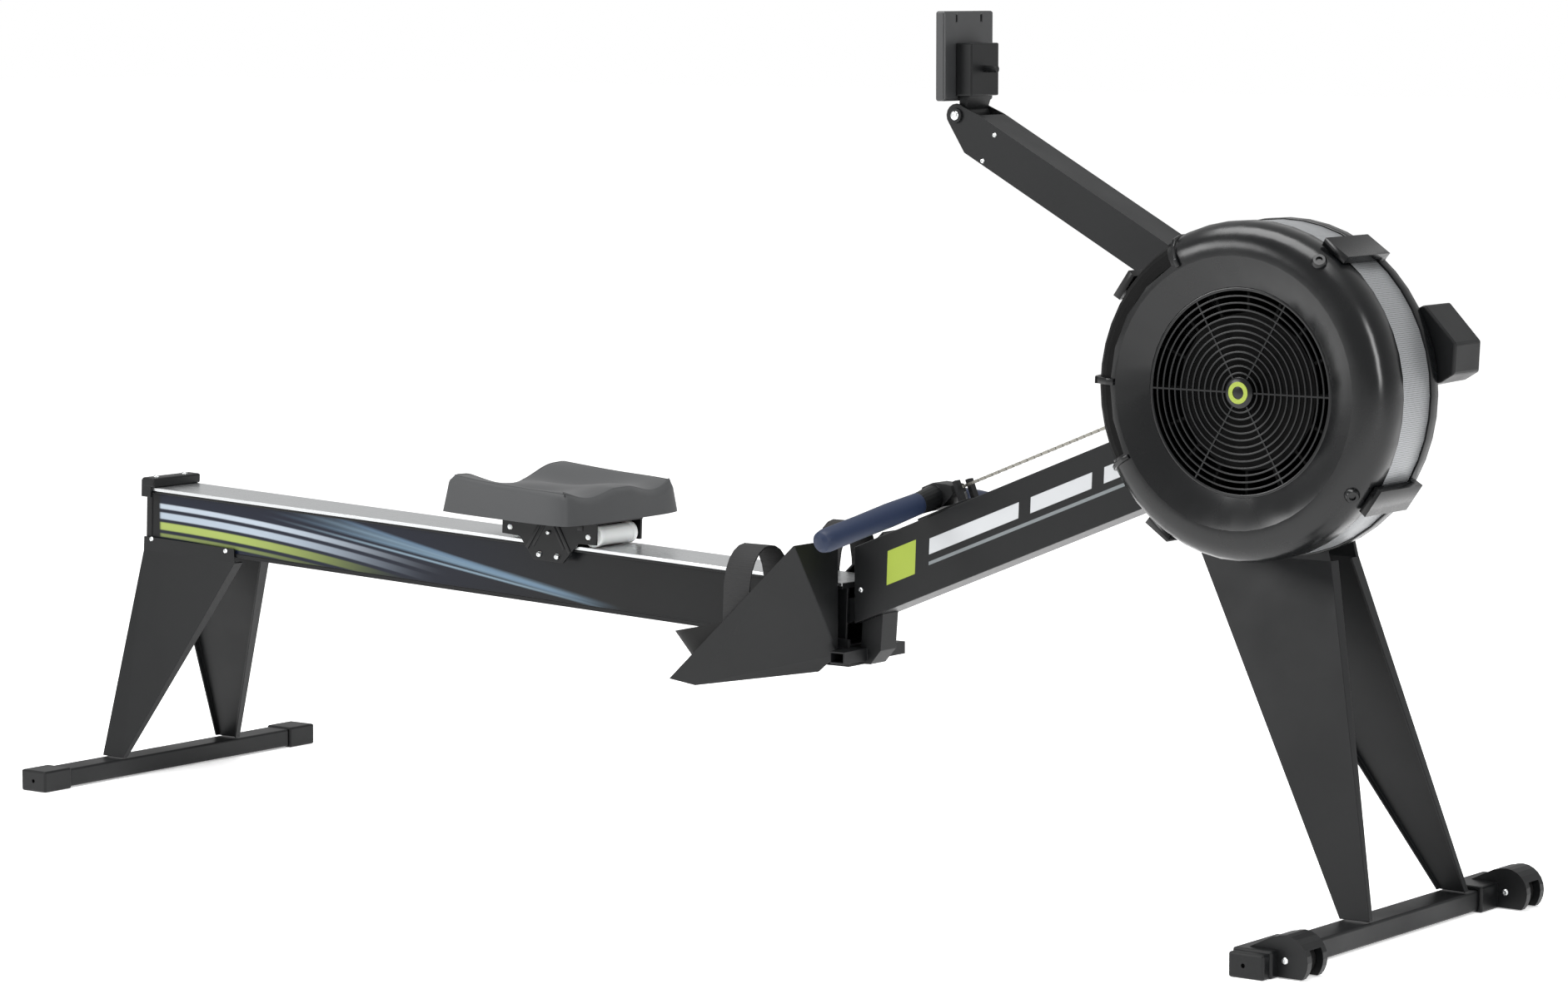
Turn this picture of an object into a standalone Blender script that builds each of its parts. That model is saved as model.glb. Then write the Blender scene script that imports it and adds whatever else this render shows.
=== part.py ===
"""Air-resistance rowing machine: a long sloping rail with a rolling seat, two footboards, a rising
beam with a caged fan flywheel beside it, a chain with a handle, and two wide feet.

Machine coordinates are in metres. X runs from the rear foot to the fan end, Y is across the machine
(negative on the fan's side) and Z is up. The empty "machine" moves the middle of the length and of the width to 0.
"""

import bmesh
import bpy
from math import atan2, cos, hypot, pi, radians, sin, tan
from mathutils import Matrix, Vector

GAP = 0.0003  # between two pieces that touch
RUN = 0.0008  # between two pieces that slide or turn

# Feet
FRONT_FOOT_X = 2.2523
REAR_FOOT_HALF = 0.309
FRONT_FOOT_HALF = 0.343
FRONT_FOOT_Y = -0.0625  # the front foot sits towards the fan's side
WIDTH_MIDDLE = -0.04825  # halfway between the two feet's outer ends
BAR_DEPTH = 0.046
BAR_HEIGHT = 0.028
CAP_DEPTH = 0.052
CAP_HEIGHT = 0.033
REAR_CAP_LENGTH = 0.058
BAR_Z = 0.0165  # middle of both cross bars
PLUG_HOLE_R = 0.003

# Legs
SHEET = 0.003
LEG_FLANGE = 0.018
LEG_FLANGE_FOOT = 0.008
LEG_SPREAD = 0.132
LEG_FOOT_DEPTH = 0.042
LEG_TAB = 0.014
REAR_LEG_TOP = (-0.016, 0.178)
FRONT_LEG_TOP = (1.912, 2.110)
FRONT_KNEE = ((1.953, 0.488), (2.153, 0.488))

# Rail, in the rail's own frame: X along it from its rear end, Z = 0 on the running track
RAIL_LENGTH = 1.364
RAIL_TOP_Z = 0.4541
RAIL_SLOPE = radians(2.2)
RAIL_HEIGHT = 0.095
TRACK_HALF = 0.049
TRACK_SHEET = 0.0015
TRACK_LIP = 0.005
FLANGE_THICK = 0.0072
RAIL_BODY_HALF = 0.035
RAIL_LIP_HALF = 0.037
RAIL_LIP_HEIGHT = 0.006
RAIL_BORE_WALL = 0.004
END_PLATE = 0.012
STOP_SIZE = (0.026, 0.108, 0.015)
STOP_CHEEK_DROP = 0.015

# Seat and carriage, in the rail's frame
SEAT_X = 0.829  # middle of the carriage
PAD_BACK = 0.017  # the pad's middle behind the carriage's
SEAT_DEPTH = 0.245
SEAT_HALF = 0.145
SEAT_LIFT = 0.0415  # underside of the pad above the track
SEAT_FLARE = 0.007
SEAT_REAR_RIM = 0.056
SEAT_FRONT_RIM = 0.048
CARRIAGE_TOP = 0.0365
CARRIAGE_SHEET = 0.004
CARRIAGE_HALF = 0.090
CARRIAGE_NOSE = 0.028
CARRIAGE_DROP = 0.027
ROLLER_R = 0.0165
ROLLER_HALF = 0.043
ROLLER_SPACING = 0.075
ROLLER_AXLE_R = 0.004
GUIDE_R = 0.007
GUIDE_WIDTH = 0.008
GUIDE_SPACING = 0.017
SIDE_PLATE_GAP = 0.0015

# Main beam, in its own frame: X along it from its rear lower corner, Z up from its underside
BEAM_X = 1.373
BEAM_Z = 0.3427
BEAM_ANGLE = radians(22.1)
BEAM_LENGTH = 0.930
BEAM_HEIGHT = 0.1020
BEAM_HALF = 0.0335
NOSE_TOP_Z = 0.834
SLOT_LENGTH = 0.112
SLOT_WIDTH = 0.018

# Fan, around its axle: radii, and distances from the machine's middle plane towards -Y
FAN_X = 2.089
FAN_Z = 0.718
COVER_R = 0.2245
COVER_WALL = 0.003
INNER_COVER = (0.040, 0.0575)
BAND_R = 0.2222
BAND_SHEET = 0.001
OUTER_COVER = (0.130, 0.185)
SHOULDER_R = 0.035
DISH_R = 0.180
DISH_DEPTH = 0.019
GRILLE_R = 0.1375
GRILLE_THICK = 0.0032
GRILLE_RINGS = 5
GRILLE_SPOKES = 6
HUB_CAP_R = 0.022
AXLE_R = 0.010
BEARING_R = 0.0165
WHEEL_R = 0.190
WHEEL_DRUM_R = 0.105
WHEEL_DEPTH = (0.066, 0.146)
BLADES = 16
DAMPER_GAP = 0.001
DAMPER_WALL = 0.0025
DAMPER_SPAN = (98.0, 230.0)
WINDOW_SPAN = (120.0, 208.0)
LEVER_ANGLE = 178.0
CLIP_ANGLES = (55.0, 145.0, 235.0, 325.0)
CLIP_THICK = 0.013
CLIP_GAP = 0.0016
CLIP_HALF_ANGLE = 5.0

# Chain, sprocket and handle
CHAIN_PITCH = 0.00635
CHAIN_HEIGHT = 0.0056
CHAIN_WIDTH = 0.0040
SPROCKET_TEETH = 36
CHAIN_RISE = 0.025  # chain above the beam's top face
GUIDE_X = 1.840
GUIDE_SIZE = (0.030, 0.018, 0.022)
HANDLE_X = 1.499
HANDLE_REACH = 0.255
HANDLE_BEND = Vector((-0.027, 0.0, -0.046))
HANDLE_CORE = 0.050
GRIP_R = 0.0165
PULLEY_R = 0.020
PULLEY_X = 0.090  # these four are in the beam's frame
PULLEY_Z = 0.044
CORD_START = 0.130
CORD_ANCHOR = 0.72

# Footboards, in their own frame: X up the board from the heel, Z square to it
HEEL_X = 1.137
HEEL_Z = 0.258
BOARD_ANGLE = radians(43.0)
BOARD_LENGTH = 0.305
BOARD_OUTER = 0.160
BOARD_INNER = 0.0545
BOARD_WALL = 0.0035
CUP_HEIGHT = 0.056
CUP_START = 0.030
CUP_LENGTH = 0.126
STRAP_MIDDLE = 1.256
STRAP_WIDTH = 0.046
STRAP_THICK = 0.0025
STRAP_RISE = {"right": 0.087, "left": 0.102}  # above the board at the strap's middle
STRAP_LIFT = 0.0008

# Monitor arm, in its own frame: X from its pivot towards the monitor, Z up
ARM_PIVOT = (2.050, 0.781)
ARM_ANGLE = radians(180.0 - 28.6)
ARM_LENGTH = 0.555
ARM_HEIGHT = 0.0573
ARM_HALF = 0.033
ARM_PIN_R = 0.0058
EAR_R = 0.0165
HEAD_PIVOT = (1.546, 1.067)
HEAD_RING_R = 0.0145
HEAD_BOLT_R = 0.006
PLATE_SIZE = (0.016, 0.120, 0.124)
BOX_SIZE = (0.027, 0.067, 0.073)
HEAD_BOX_Z = 0.027  # underside of the box above the pivot

# Transport wheels
CASTER_R = 0.0225
CASTER_WIDTH = 0.026
CASTER_Y = 0.2895  # from the foot's middle
CASTER_X = 0.0405  # in front of the foot's middle
HOOD_R = 0.033
HOOD_HALF = 0.0245
SLEEVE_REACH = 0.045  # how far the fitting runs inwards over the bar

FRONT_EDGE_X = 2.335
LENGTH_MIDDLE = (FRONT_EDGE_X - CAP_DEPTH / 2) / 2


def principled(name, color, roughness, metallic=0.0):
    made = bpy.data.materials.new(name)
    made.use_nodes = True
    shader = made.node_tree.nodes["Principled BSDF"]
    shader.inputs["Base Color"].default_value = (*color, 1.0)
    shader.inputs["Roughness"].default_value = roughness
    shader.inputs["Metallic"].default_value = metallic
    made.diffuse_color = (*color, 1.0)
    return made


for leftover in list(bpy.data.objects):
    bpy.data.objects.remove(leftover)

PARTS = bpy.data.collections.new("rowing_machine")
CUTTERS = bpy.data.collections.new("cutters")
bpy.context.scene.collection.children.link(PARTS)
bpy.context.scene.collection.children.link(CUTTERS)
CUTTERS.hide_render = True

STEEL_BLACK = principled("black_powder_coat", (0.012, 0.012, 0.014), 0.45)
ALUMINIUM_BLACK = principled("black_anodised", (0.016, 0.016, 0.018), 0.38)
STAINLESS = principled("stainless", (0.55, 0.56, 0.57), 0.28, 1.0)
PLASTIC_BLACK = principled("black_plastic", (0.014, 0.014, 0.015), 0.42)
RUBBER_BLACK = principled("black_rubber", (0.011, 0.011, 0.011), 0.7)
PLASTIC_WHITE = principled("white_roller", (0.75, 0.76, 0.76), 0.35)
SEAT_GREY = principled("grey_seat", (0.07, 0.07, 0.072), 0.6)
GRIP_BLUE = principled("blue_grip", (0.022, 0.045, 0.085), 0.6)
BAND_GREY = principled("grey_perforated_band", (0.36, 0.37, 0.38), 0.5, 0.6)
NICKEL = principled("nickel_plate", (0.60, 0.59, 0.56), 0.3, 1.0)
WEBBING = principled("black_webbing", (0.012, 0.012, 0.012), 0.85)


def empty(name, location, turn_y=0.0, parent=None):
    made = bpy.data.objects.new(name, None)
    made.location = location
    made.rotation_euler = (0.0, turn_y, 0.0)
    made.parent = parent
    PARTS.objects.link(made)
    return made


MACHINE = empty("machine", (-LENGTH_MIDDLE, -WIDTH_MIDDLE, 0.0))
RAIL = empty("rail_frame", (0.0, 0.0, RAIL_TOP_Z), RAIL_SLOPE, MACHINE)
BEAM = empty("beam_frame", (BEAM_X, 0.0, BEAM_Z), -BEAM_ANGLE, MACHINE)
FAN = empty("fan_axis", (FAN_X, 0.0, FAN_Z), 0.0, MACHINE)
ARM = empty("arm_pivot", (ARM_PIVOT[0], 0.0, ARM_PIVOT[1]), -(ARM_ANGLE - pi), MACHINE)
HEAD = empty("head_pivot", (HEAD_PIVOT[0], 0.0, HEAD_PIVOT[1]), 0.0, MACHINE)


def add(name, mesh, material, location=(0, 0, 0), rotation=(0, 0, 0), parent=MACHINE):
    """A named object of this mesh, in the parts' collection."""
    made = bpy.data.objects.new(name, mesh)
    made.location = location
    made.rotation_euler = rotation
    made.parent = parent
    if material:
        mesh.materials.append(material)
    PARTS.objects.link(made)
    return made


def as_cutter(piece):
    PARTS.objects.unlink(piece)
    CUTTERS.objects.link(piece)
    piece.hide_render = True
    piece.display_type = "WIRE"
    return piece


def boolean(piece, other, operation="DIFFERENCE"):
    as_cutter(other)
    step = piece.modifiers.new(operation.lower(), "BOOLEAN")
    step.operation = operation
    step.object = other
    return piece


def cut(piece, *others):
    for other in others:
        boolean(piece, other)
    return piece


def join(piece, *others):
    for other in others:
        boolean(piece, other, "UNION")
    return piece


def rounded(piece, width, segments=2):
    step = piece.modifiers.new("soft_edges", "BEVEL")
    step.width = width
    step.segments = segments
    step.limit_method = "ANGLE"
    step.angle_limit = radians(40)
    return piece


def box(name, size, location, material=None, rotation=(0, 0, 0), parent=MACHINE):
    mesh = bpy.data.meshes.new(name)
    shape = bmesh.new()
    bmesh.ops.create_cube(shape, size=1.0)
    bmesh.ops.scale(shape, vec=size, verts=shape.verts)
    shape.to_mesh(mesh)
    shape.free()
    return add(name, mesh, material, location, rotation, parent)


def rod(name, radius, length, location, material=None, parent=MACHINE, sides=24):
    """A cylinder along Y."""
    mesh = bpy.data.meshes.new(name)
    shape = bmesh.new()
    bmesh.ops.create_cone(
        shape, cap_ends=True, segments=sides, radius1=radius, radius2=radius, depth=length
    )
    shape.to_mesh(mesh)
    shape.free()
    mesh.shade_smooth()
    mesh.set_sharp_from_angle(angle=radians(40))
    return add(name, mesh, material, location, (pi / 2, 0, 0), parent)


def arc(center, radius, start, end, points):
    """Points on an arc, with its angles in degrees."""
    turns = [radians(start + (end - start) * i / (points - 1)) for i in range(points)]
    return [(center[0] + radius * cos(t), center[1] + radius * sin(t)) for t in turns]


def circle(center, radius, points=20):
    return arc(center, radius, 0.0, 360.0 - 360.0 / points, points)


def outline(name, points, thickness, material=None, location=(0, 0, 0), parent=MACHINE,
            holes=(), rotation=(pi / 2, 0, 0)):
    """A flat plate: its points are (X, Z) and it is extruded along Y, half to each side."""
    curve = bpy.data.curves.new(name, "CURVE")
    curve.dimensions = "2D"
    curve.fill_mode = "BOTH"
    curve.extrude = thickness / 2
    for ring in (points, *holes):
        spline = curve.splines.new("POLY")
        spline.points.add(len(ring) - 1)
        for point, (x, z) in zip(spline.points, ring):
            point.co = (x, z, 0.0, 1.0)
        spline.use_cyclic_u = True
    guide = bpy.data.objects.new(name + "_guide", curve)
    PARTS.objects.link(guide)
    graph = bpy.context.evaluated_depsgraph_get()
    mesh = bpy.data.meshes.new_from_object(guide.evaluated_get(graph))
    bpy.data.objects.remove(guide)
    shape = bmesh.new()
    shape.from_mesh(mesh)
    bmesh.ops.remove_doubles(shape, verts=shape.verts, dist=1e-5)
    bmesh.ops.recalc_face_normals(shape, faces=shape.faces)
    shape.to_mesh(mesh)
    shape.free()
    mesh.materials.clear()
    return add(name, mesh, material, location, rotation, parent)


ALONG_X = (pi / 2, 0, pi / 2)  # an outline of (Y, Z) points, extruded along X


def turned(name, profile, material=None, closed=True, steps=48, location=(0, 0, 0), parent=FAN):
    """A ring or disc around a Y axis. The profile holds (radius, distance towards -Y)."""
    mesh = bpy.data.meshes.new(name)
    shape = bmesh.new()
    verts = [shape.verts.new((radius, 0.0, height)) for radius, height in profile]
    for first, second in zip(verts, verts[1:]):
        shape.edges.new((first, second))
    if closed:
        shape.edges.new((verts[-1], verts[0]))
    shape.to_mesh(mesh)
    shape.free()
    piece = add(name, mesh, material, location, (pi / 2, 0, 0), parent)
    screw = piece.modifiers.new("turn", "SCREW")
    screw.steps = steps
    screw.render_steps = steps
    screw.use_merge_vertices = True
    screw.merge_threshold = 0.00001
    screw.use_smooth_shade = True
    return piece


def wedge(name, start, end, inner, outer, low, high):
    """A cutter around the fan's axle: a sector between two angles, radii and distances."""
    steps = max(4, int(abs(end - start) / 12))
    ring = arc((0, 0), outer, start, end, steps)
    ring += arc((0, 0), inner, end, start, steps)
    return outline(name, ring, high - low, None, (0, -(low + high) / 2, 0), FAN)


# --- Feet -------------------------------------------------------------------------------------


def bar_cap(name, x, y, half_length):
    """A moulded end cap on a foot's cross bar, with a small vent hole in its end."""
    side = 1 if y > 0 else -1
    cap = box(name, (CAP_DEPTH, 2 * half_length, CAP_HEIGHT), (x, y, CAP_HEIGHT / 2), PLASTIC_BLACK)
    rounded(cap, 0.003)
    vent = rod(name + "_vent", PLUG_HOLE_R, 0.012, (x, y + side * half_length, BAR_Z), sides=12)
    return cut(cap, vent)


def rear_foot():
    bar_half = REAR_FOOT_HALF - REAR_CAP_LENGTH
    bar = box("rear_crossbar", (BAR_DEPTH, 2 * (bar_half - GAP), BAR_HEIGHT), (0, 0, BAR_Z), STEEL_BLACK)
    rounded(bar, 0.003)
    for side, word in ((-1, "right"), (1, "left")):
        middle = side * (REAR_FOOT_HALF - REAR_CAP_LENGTH / 2)
        bar_cap(f"rear_foot_cap_{word}", 0.0, middle, REAR_CAP_LENGTH / 2)


def leg(name, side, top, top_z, top_half, knee, foot_x):
    """A tapered sheet leg: a tab beside the member it holds, a leaning blade, and two folded edges.
    The blade leans out from its knee, the two points (X, Z) where it starts to flare."""
    bottom_z = BAR_Z + BAR_HEIGHT / 2 + SHEET / 2 + GAP
    rows = [[(x, side * top_half, top_z(x) + LEG_TAB) for x in top]]
    rows.append([(x, side * top_half, z) for x, z in knee])
    half = LEG_FOOT_DEPTH / 2
    rows.append([(foot_x + s * half, side * LEG_SPREAD, bottom_z) for s in (-1, 1)])
    mesh = bpy.data.meshes.new(name)
    shape = bmesh.new()
    grid = [[shape.verts.new(point) for point in row] for row in rows]
    for upper, lower in zip(grid, grid[1:]):
        shape.faces.new((upper[0], upper[1], lower[1], lower[0]))
    for column in (0, 1):
        edge = shape.edges.get((grid[1][column], grid[2][column]))
        folded = bmesh.ops.extrude_edge_only(shape, edges=[edge])["geom"]
        verts = [item for item in folded if isinstance(item, bmesh.types.BMVert)]
        top_one, foot_one = sorted(verts, key=lambda vert: -vert.co.z)
        top_one.co.y -= side * LEG_FLANGE
        foot_one.co.y -= side * LEG_FLANGE_FOOT
    bmesh.ops.recalc_face_normals(shape, faces=shape.faces)
    shape.to_mesh(mesh)
    shape.free()
    piece = add(name, mesh, STEEL_BLACK)
    wall = piece.modifiers.new("sheet", "SOLIDIFY")
    wall.thickness = SHEET
    wall.offset = 0.0
    wall.use_even_offset = True
    return piece


def rail_underside(x):
    return RAIL_TOP_Z - x * tan(RAIL_SLOPE) - RAIL_HEIGHT / cos(RAIL_SLOPE)


def beam_underside(x):
    return BEAM_Z + (x - BEAM_X) * tan(BEAM_ANGLE)


def legs():
    rear_half = RAIL_LIP_HALF + SHEET / 2 + GAP
    front_half = BEAM_HALF + SHEET / 2 + GAP
    rear_knee = [(x, rail_underside(x) - 0.008) for x in REAR_LEG_TOP]
    for side, word in ((-1, "right"), (1, "left")):
        leg(f"rear_leg_{word}", side, REAR_LEG_TOP, rail_underside, rear_half, rear_knee, 0.0)
        leg(f"front_leg_{word}", side, FRONT_LEG_TOP, beam_underside, front_half, FRONT_KNEE, FRONT_FOOT_X)


def foot_point(side, away, forward=0.0, z=0.0):
    """A point of the front foot: this far from its middle, and in front of its middle line."""
    return (FRONT_FOOT_X + forward, FRONT_FOOT_Y + side * away, z)


def caster_hood(side, word):
    """The moulded end of the front foot: a cap, a sleeve on the bar, and a hood around the wheel."""
    name = f"front_fitting_{word}"
    axle_z = CASTER_R + RUN
    inner = CASTER_Y - HOOD_HALF
    cap_middle = (inner + FRONT_FOOT_HALF) / 2
    cap = box(name, (CAP_DEPTH, FRONT_FOOT_HALF - inner, CAP_HEIGHT),
              foot_point(side, cap_middle, 0, CAP_HEIGHT / 2), PLASTIC_BLACK)
    rounded(cap, 0.003)
    sleeve = box(name + "_sleeve", (CAP_DEPTH + 0.006, 2 * HOOD_HALF + SLEEVE_REACH + 0.014, CAP_HEIGHT + 0.003),
                 foot_point(side, CASTER_Y + (0.014 - SLEEVE_REACH) / 2, 0, (CAP_HEIGHT + 0.003) / 2))
    rounded(sleeve, 0.003)
    hood = rod(name + "_hood", HOOD_R, 2 * HOOD_HALF, foot_point(side, CASTER_Y, CASTER_X, axle_z))
    shoulder = outline(name + "_shoulder", [(-0.02, 0.02), (0.052, 0.02), (0.040, HOOD_R + axle_z - 0.0005),
                                            (0.022, HOOD_R + axle_z - 0.0035), (-0.018, CAP_HEIGHT)],
                       2 * HOOD_HALF, None, foot_point(side, CASTER_Y))
    ground = box(name + "_ground", (0.3, 0.4, 0.1), foot_point(side, CASTER_Y, 0, -0.05 + 0.0015))
    join(cap, sleeve, cut(hood, ground), shoulder)
    pocket_r = CASTER_R + 0.003
    pocket_width = CASTER_WIDTH + 2 * RUN
    pocket = rod(name + "_pocket", pocket_r, pocket_width, foot_point(side, CASTER_Y, CASTER_X, axle_z))
    mouth = box(name + "_mouth", (0.06, pocket_width, 0.05),
                foot_point(side, CASTER_Y, CASTER_X + 0.030, axle_z - 0.010))
    under = box(name + "_under", (2 * pocket_r, pocket_width, 0.05), foot_point(side, CASTER_Y, CASTER_X, -0.001))
    pin_hole = rod(name + "_pin_hole", ROLLER_AXLE_R + RUN, 2 * HOOD_HALF + 0.01,
                   foot_point(side, CASTER_Y, CASTER_X, axle_z), sides=16)
    vent = rod(name + "_vent", PLUG_HOLE_R, 0.012, foot_point(side, FRONT_FOOT_HALF, -0.004, BAR_Z), sides=12)
    bar_end = box(name + "_bar_space", (BAR_DEPTH + 2 * GAP, SLEEVE_REACH + 0.01, BAR_HEIGHT + 2 * GAP),
                  foot_point(side, inner - SLEEVE_REACH / 2 - 0.005, 0, BAR_Z))
    return cut(cap, pocket, mouth, under, pin_hole, vent, bar_end)


def transport_wheel(side, word):
    """A small wheel with its pin, a little above the floor until the machine is tipped up."""
    place = foot_point(side, CASTER_Y, CASTER_X, CASTER_R + RUN)
    wheel = rod(f"transport_wheel_{word}", CASTER_R, CASTER_WIDTH, place, RUBBER_BLACK)
    pin = rod(f"transport_wheel_{word}_pin", ROLLER_AXLE_R, 2 * HOOD_HALF, place, sides=16)
    return join(wheel, pin)


def front_foot():
    bar_half = CASTER_Y - HOOD_HALF - GAP
    bar = box("front_crossbar", (BAR_DEPTH, 2 * bar_half, BAR_HEIGHT), foot_point(1, 0, 0, BAR_Z), STEEL_BLACK)
    rounded(bar, 0.003)
    for side, word in ((-1, "right"), (1, "left")):
        caster_hood(side, word)
        transport_wheel(side, word)


# --- Rail and seat ----------------------------------------------------------------------------


def rail():
    """An aluminium extrusion: a wide flange that the rollers run on and under, over a hollow body."""
    top = -TRACK_SHEET - GAP
    low = top - FLANGE_THICK
    base = -RAIL_HEIGHT
    flange = TRACK_HALF - TRACK_SHEET - GAP
    lip = base + RAIL_LIP_HEIGHT
    half = [(flange, top), (flange, low), (RAIL_BODY_HALF, low), (RAIL_BODY_HALF, lip)]
    half += [(RAIL_LIP_HALF, lip), (RAIL_LIP_HALF, base)]
    section = half + [(-y, z) for y, z in reversed(half)]
    inner = RAIL_BODY_HALF - RAIL_BORE_WALL
    bore = [(inner, low), (inner, base + RAIL_BORE_WALL), (-inner, base + RAIL_BORE_WALL), (-inner, low)]
    middle = (RAIL_LENGTH / 2, 0, 0)
    outline("rail", section, RAIL_LENGTH, ALUMINIUM_BLACK, middle, RAIL, (bore,), ALONG_X)
    track = [(TRACK_HALF, 0.0), (TRACK_HALF, -TRACK_LIP)]
    track += [(TRACK_HALF - TRACK_SHEET, -TRACK_LIP), (TRACK_HALF - TRACK_SHEET, -TRACK_SHEET)]
    strip = track + [(-y, z) for y, z in reversed(track)]
    outline("rail_track", strip, RAIL_LENGTH, STAINLESS, middle, RAIL, (), ALONG_X)


def rear_end():
    """The plate that closes the rail's rear end, and the stop bar that keeps the seat on the rail."""
    plate_x = -GAP - END_PLATE / 2
    plate = box("rear_end_plate", (END_PLATE, 2 * RAIL_LIP_HALF, RAIL_HEIGHT - TRACK_LIP),
                (plate_x, 0, -(RAIL_HEIGHT + TRACK_LIP) / 2), PLASTIC_BLACK, parent=RAIL)
    rounded(plate, 0.002)
    stop = box("rear_stop", STOP_SIZE, (0.006, 0, STOP_SIZE[2] / 2 + GAP), PLASTIC_BLACK, parent=RAIL)
    rounded(stop, 0.003)
    cheek_height = STOP_SIZE[2] + STOP_CHEEK_DROP - 0.003
    for side in (-1, 1):
        cheek = box(f"stop_cheek_{side}", (STOP_SIZE[0] - 0.006, 0.004, cheek_height),
                    (0.003, side * (STOP_SIZE[1] / 2 - 0.0022), STOP_SIZE[2] - 0.003 - cheek_height / 2),
                    parent=RAIL)
        join(stop, cheek)


def carriage():
    """The folded bracket under the seat, with arms down past the track for the guide rollers."""
    width = 2 * (TRACK_HALF + SIDE_PLATE_GAP + CARRIAGE_SHEET) + 0.001
    plate = box("seat_carriage", (2 * CARRIAGE_HALF + 0.002, width, CARRIAGE_SHEET),
                (SEAT_X, 0, CARRIAGE_TOP + CARRIAGE_SHEET / 2), PLASTIC_BLACK, parent=RAIL)
    low = 0.006
    shoulder = 0.056
    side_shape = [(-CARRIAGE_HALF, CARRIAGE_TOP + 0.001), (-CARRIAGE_HALF, low), (-shoulder, low - 0.001)]
    side_shape += [(-CARRIAGE_NOSE, -CARRIAGE_DROP), (CARRIAGE_NOSE, -CARRIAGE_DROP), (shoulder, low - 0.001)]
    side_shape += [(CARRIAGE_HALF, low), (CARRIAGE_HALF, CARRIAGE_TOP + 0.001)]
    holes = [circle((s * ROLLER_SPACING, ROLLER_R), ROLLER_AXLE_R + RUN, 12) for s in (-1, 1)]
    holes += [circle((s * GUIDE_SPACING, guide_z()), ROLLER_AXLE_R - 0.001 + RUN, 12) for s in (-1, 1)]
    for side in (-1, 1):
        y = side * (TRACK_HALF + SIDE_PLATE_GAP + CARRIAGE_SHEET / 2)
        arm = outline(f"carriage_side_{side}", side_shape, CARRIAGE_SHEET, None, (SEAT_X, y, 0), RAIL, holes)
        join(plate, arm)
    return plate


def guide_z():
    """Height of the guide rollers' axes: they run on the underside of the rail's flange."""
    return -TRACK_SHEET - GAP - FLANGE_THICK - GUIDE_R - RUN


def seat_rollers():
    """Two white rollers on the track, and four small ones that keep the carriage on the rail."""
    axle = 2 * (TRACK_HALF + SIDE_PLATE_GAP + CARRIAGE_SHEET) + 0.003
    for side, word in ((-1, "rear"), (1, "front")):
        place = (SEAT_X + side * ROLLER_SPACING, 0, ROLLER_R + GAP)
        profile = [(0.0, ROLLER_HALF), (ROLLER_R, ROLLER_HALF), (ROLLER_R, ROLLER_HALF - 0.008)]
        profile += [(ROLLER_R - 0.0015, ROLLER_HALF - 0.010), (ROLLER_R - 0.0015, -ROLLER_HALF + 0.010)]
        profile += [(ROLLER_R, -ROLLER_HALF + 0.008), (ROLLER_R, -ROLLER_HALF), (0.0, -ROLLER_HALF)]
        roller = turned(f"seat_roller_{word}", profile, PLASTIC_WHITE, False, 24, place, RAIL)
        pin = rod(f"seat_roller_{word}_pin", ROLLER_AXLE_R, axle, place, parent=RAIL, sides=12)
        join(roller, pin)
    outer = TRACK_HALF + SIDE_PLATE_GAP
    inner = RAIL_BODY_HALF + 0.0012
    for lateral, hand in ((-1, "right"), (1, "left")):
        for side, word in ((-1, "rear"), (1, "front")):
            y = lateral * (inner + GUIDE_WIDTH / 2)
            place = (SEAT_X + side * GUIDE_SPACING, y, guide_z())
            name = f"guide_roller_{hand}_{word}"
            wheel = rod(name, GUIDE_R, GUIDE_WIDTH, place, PLASTIC_WHITE, RAIL, 20)
            reach = outer + CARRIAGE_SHEET + 0.002 - inner
            pin_y = lateral * (inner + reach / 2)
            pin = rod(name + "_pin", ROLLER_AXLE_R - 0.001, reach,
                      (place[0], pin_y, place[2]), parent=RAIL, sides=12)
            join(wheel, pin)


def bump(value, middle, width):
    """A smooth hill of height 1 at the middle, which is gone at this width from it."""
    return max(0.0, 1 - ((value - middle) / width) ** 2) ** 2


def seat_height(along, across):
    """Height of the pad's top above its underside; both arguments run from -1 to 1."""
    rim = SEAT_REAR_RIM + (SEAT_FRONT_RIM - SEAT_REAR_RIM) * (along + 1) / 2
    bones = 0.022 * (bump(across, -0.42, 0.62) + bump(across, 0.42, 0.62)) * bump(along, -0.15, 0.95)
    tail_notch = 0.027 * bump(across, 0.0, 0.75) * max(0.0, -along) ** 2
    thighs = 0.011 * (bump(across, -0.55, 0.45) + bump(across, 0.55, 0.45)) * max(0.0, along) ** 1.5
    return rim - bones - tail_notch - thighs


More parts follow.
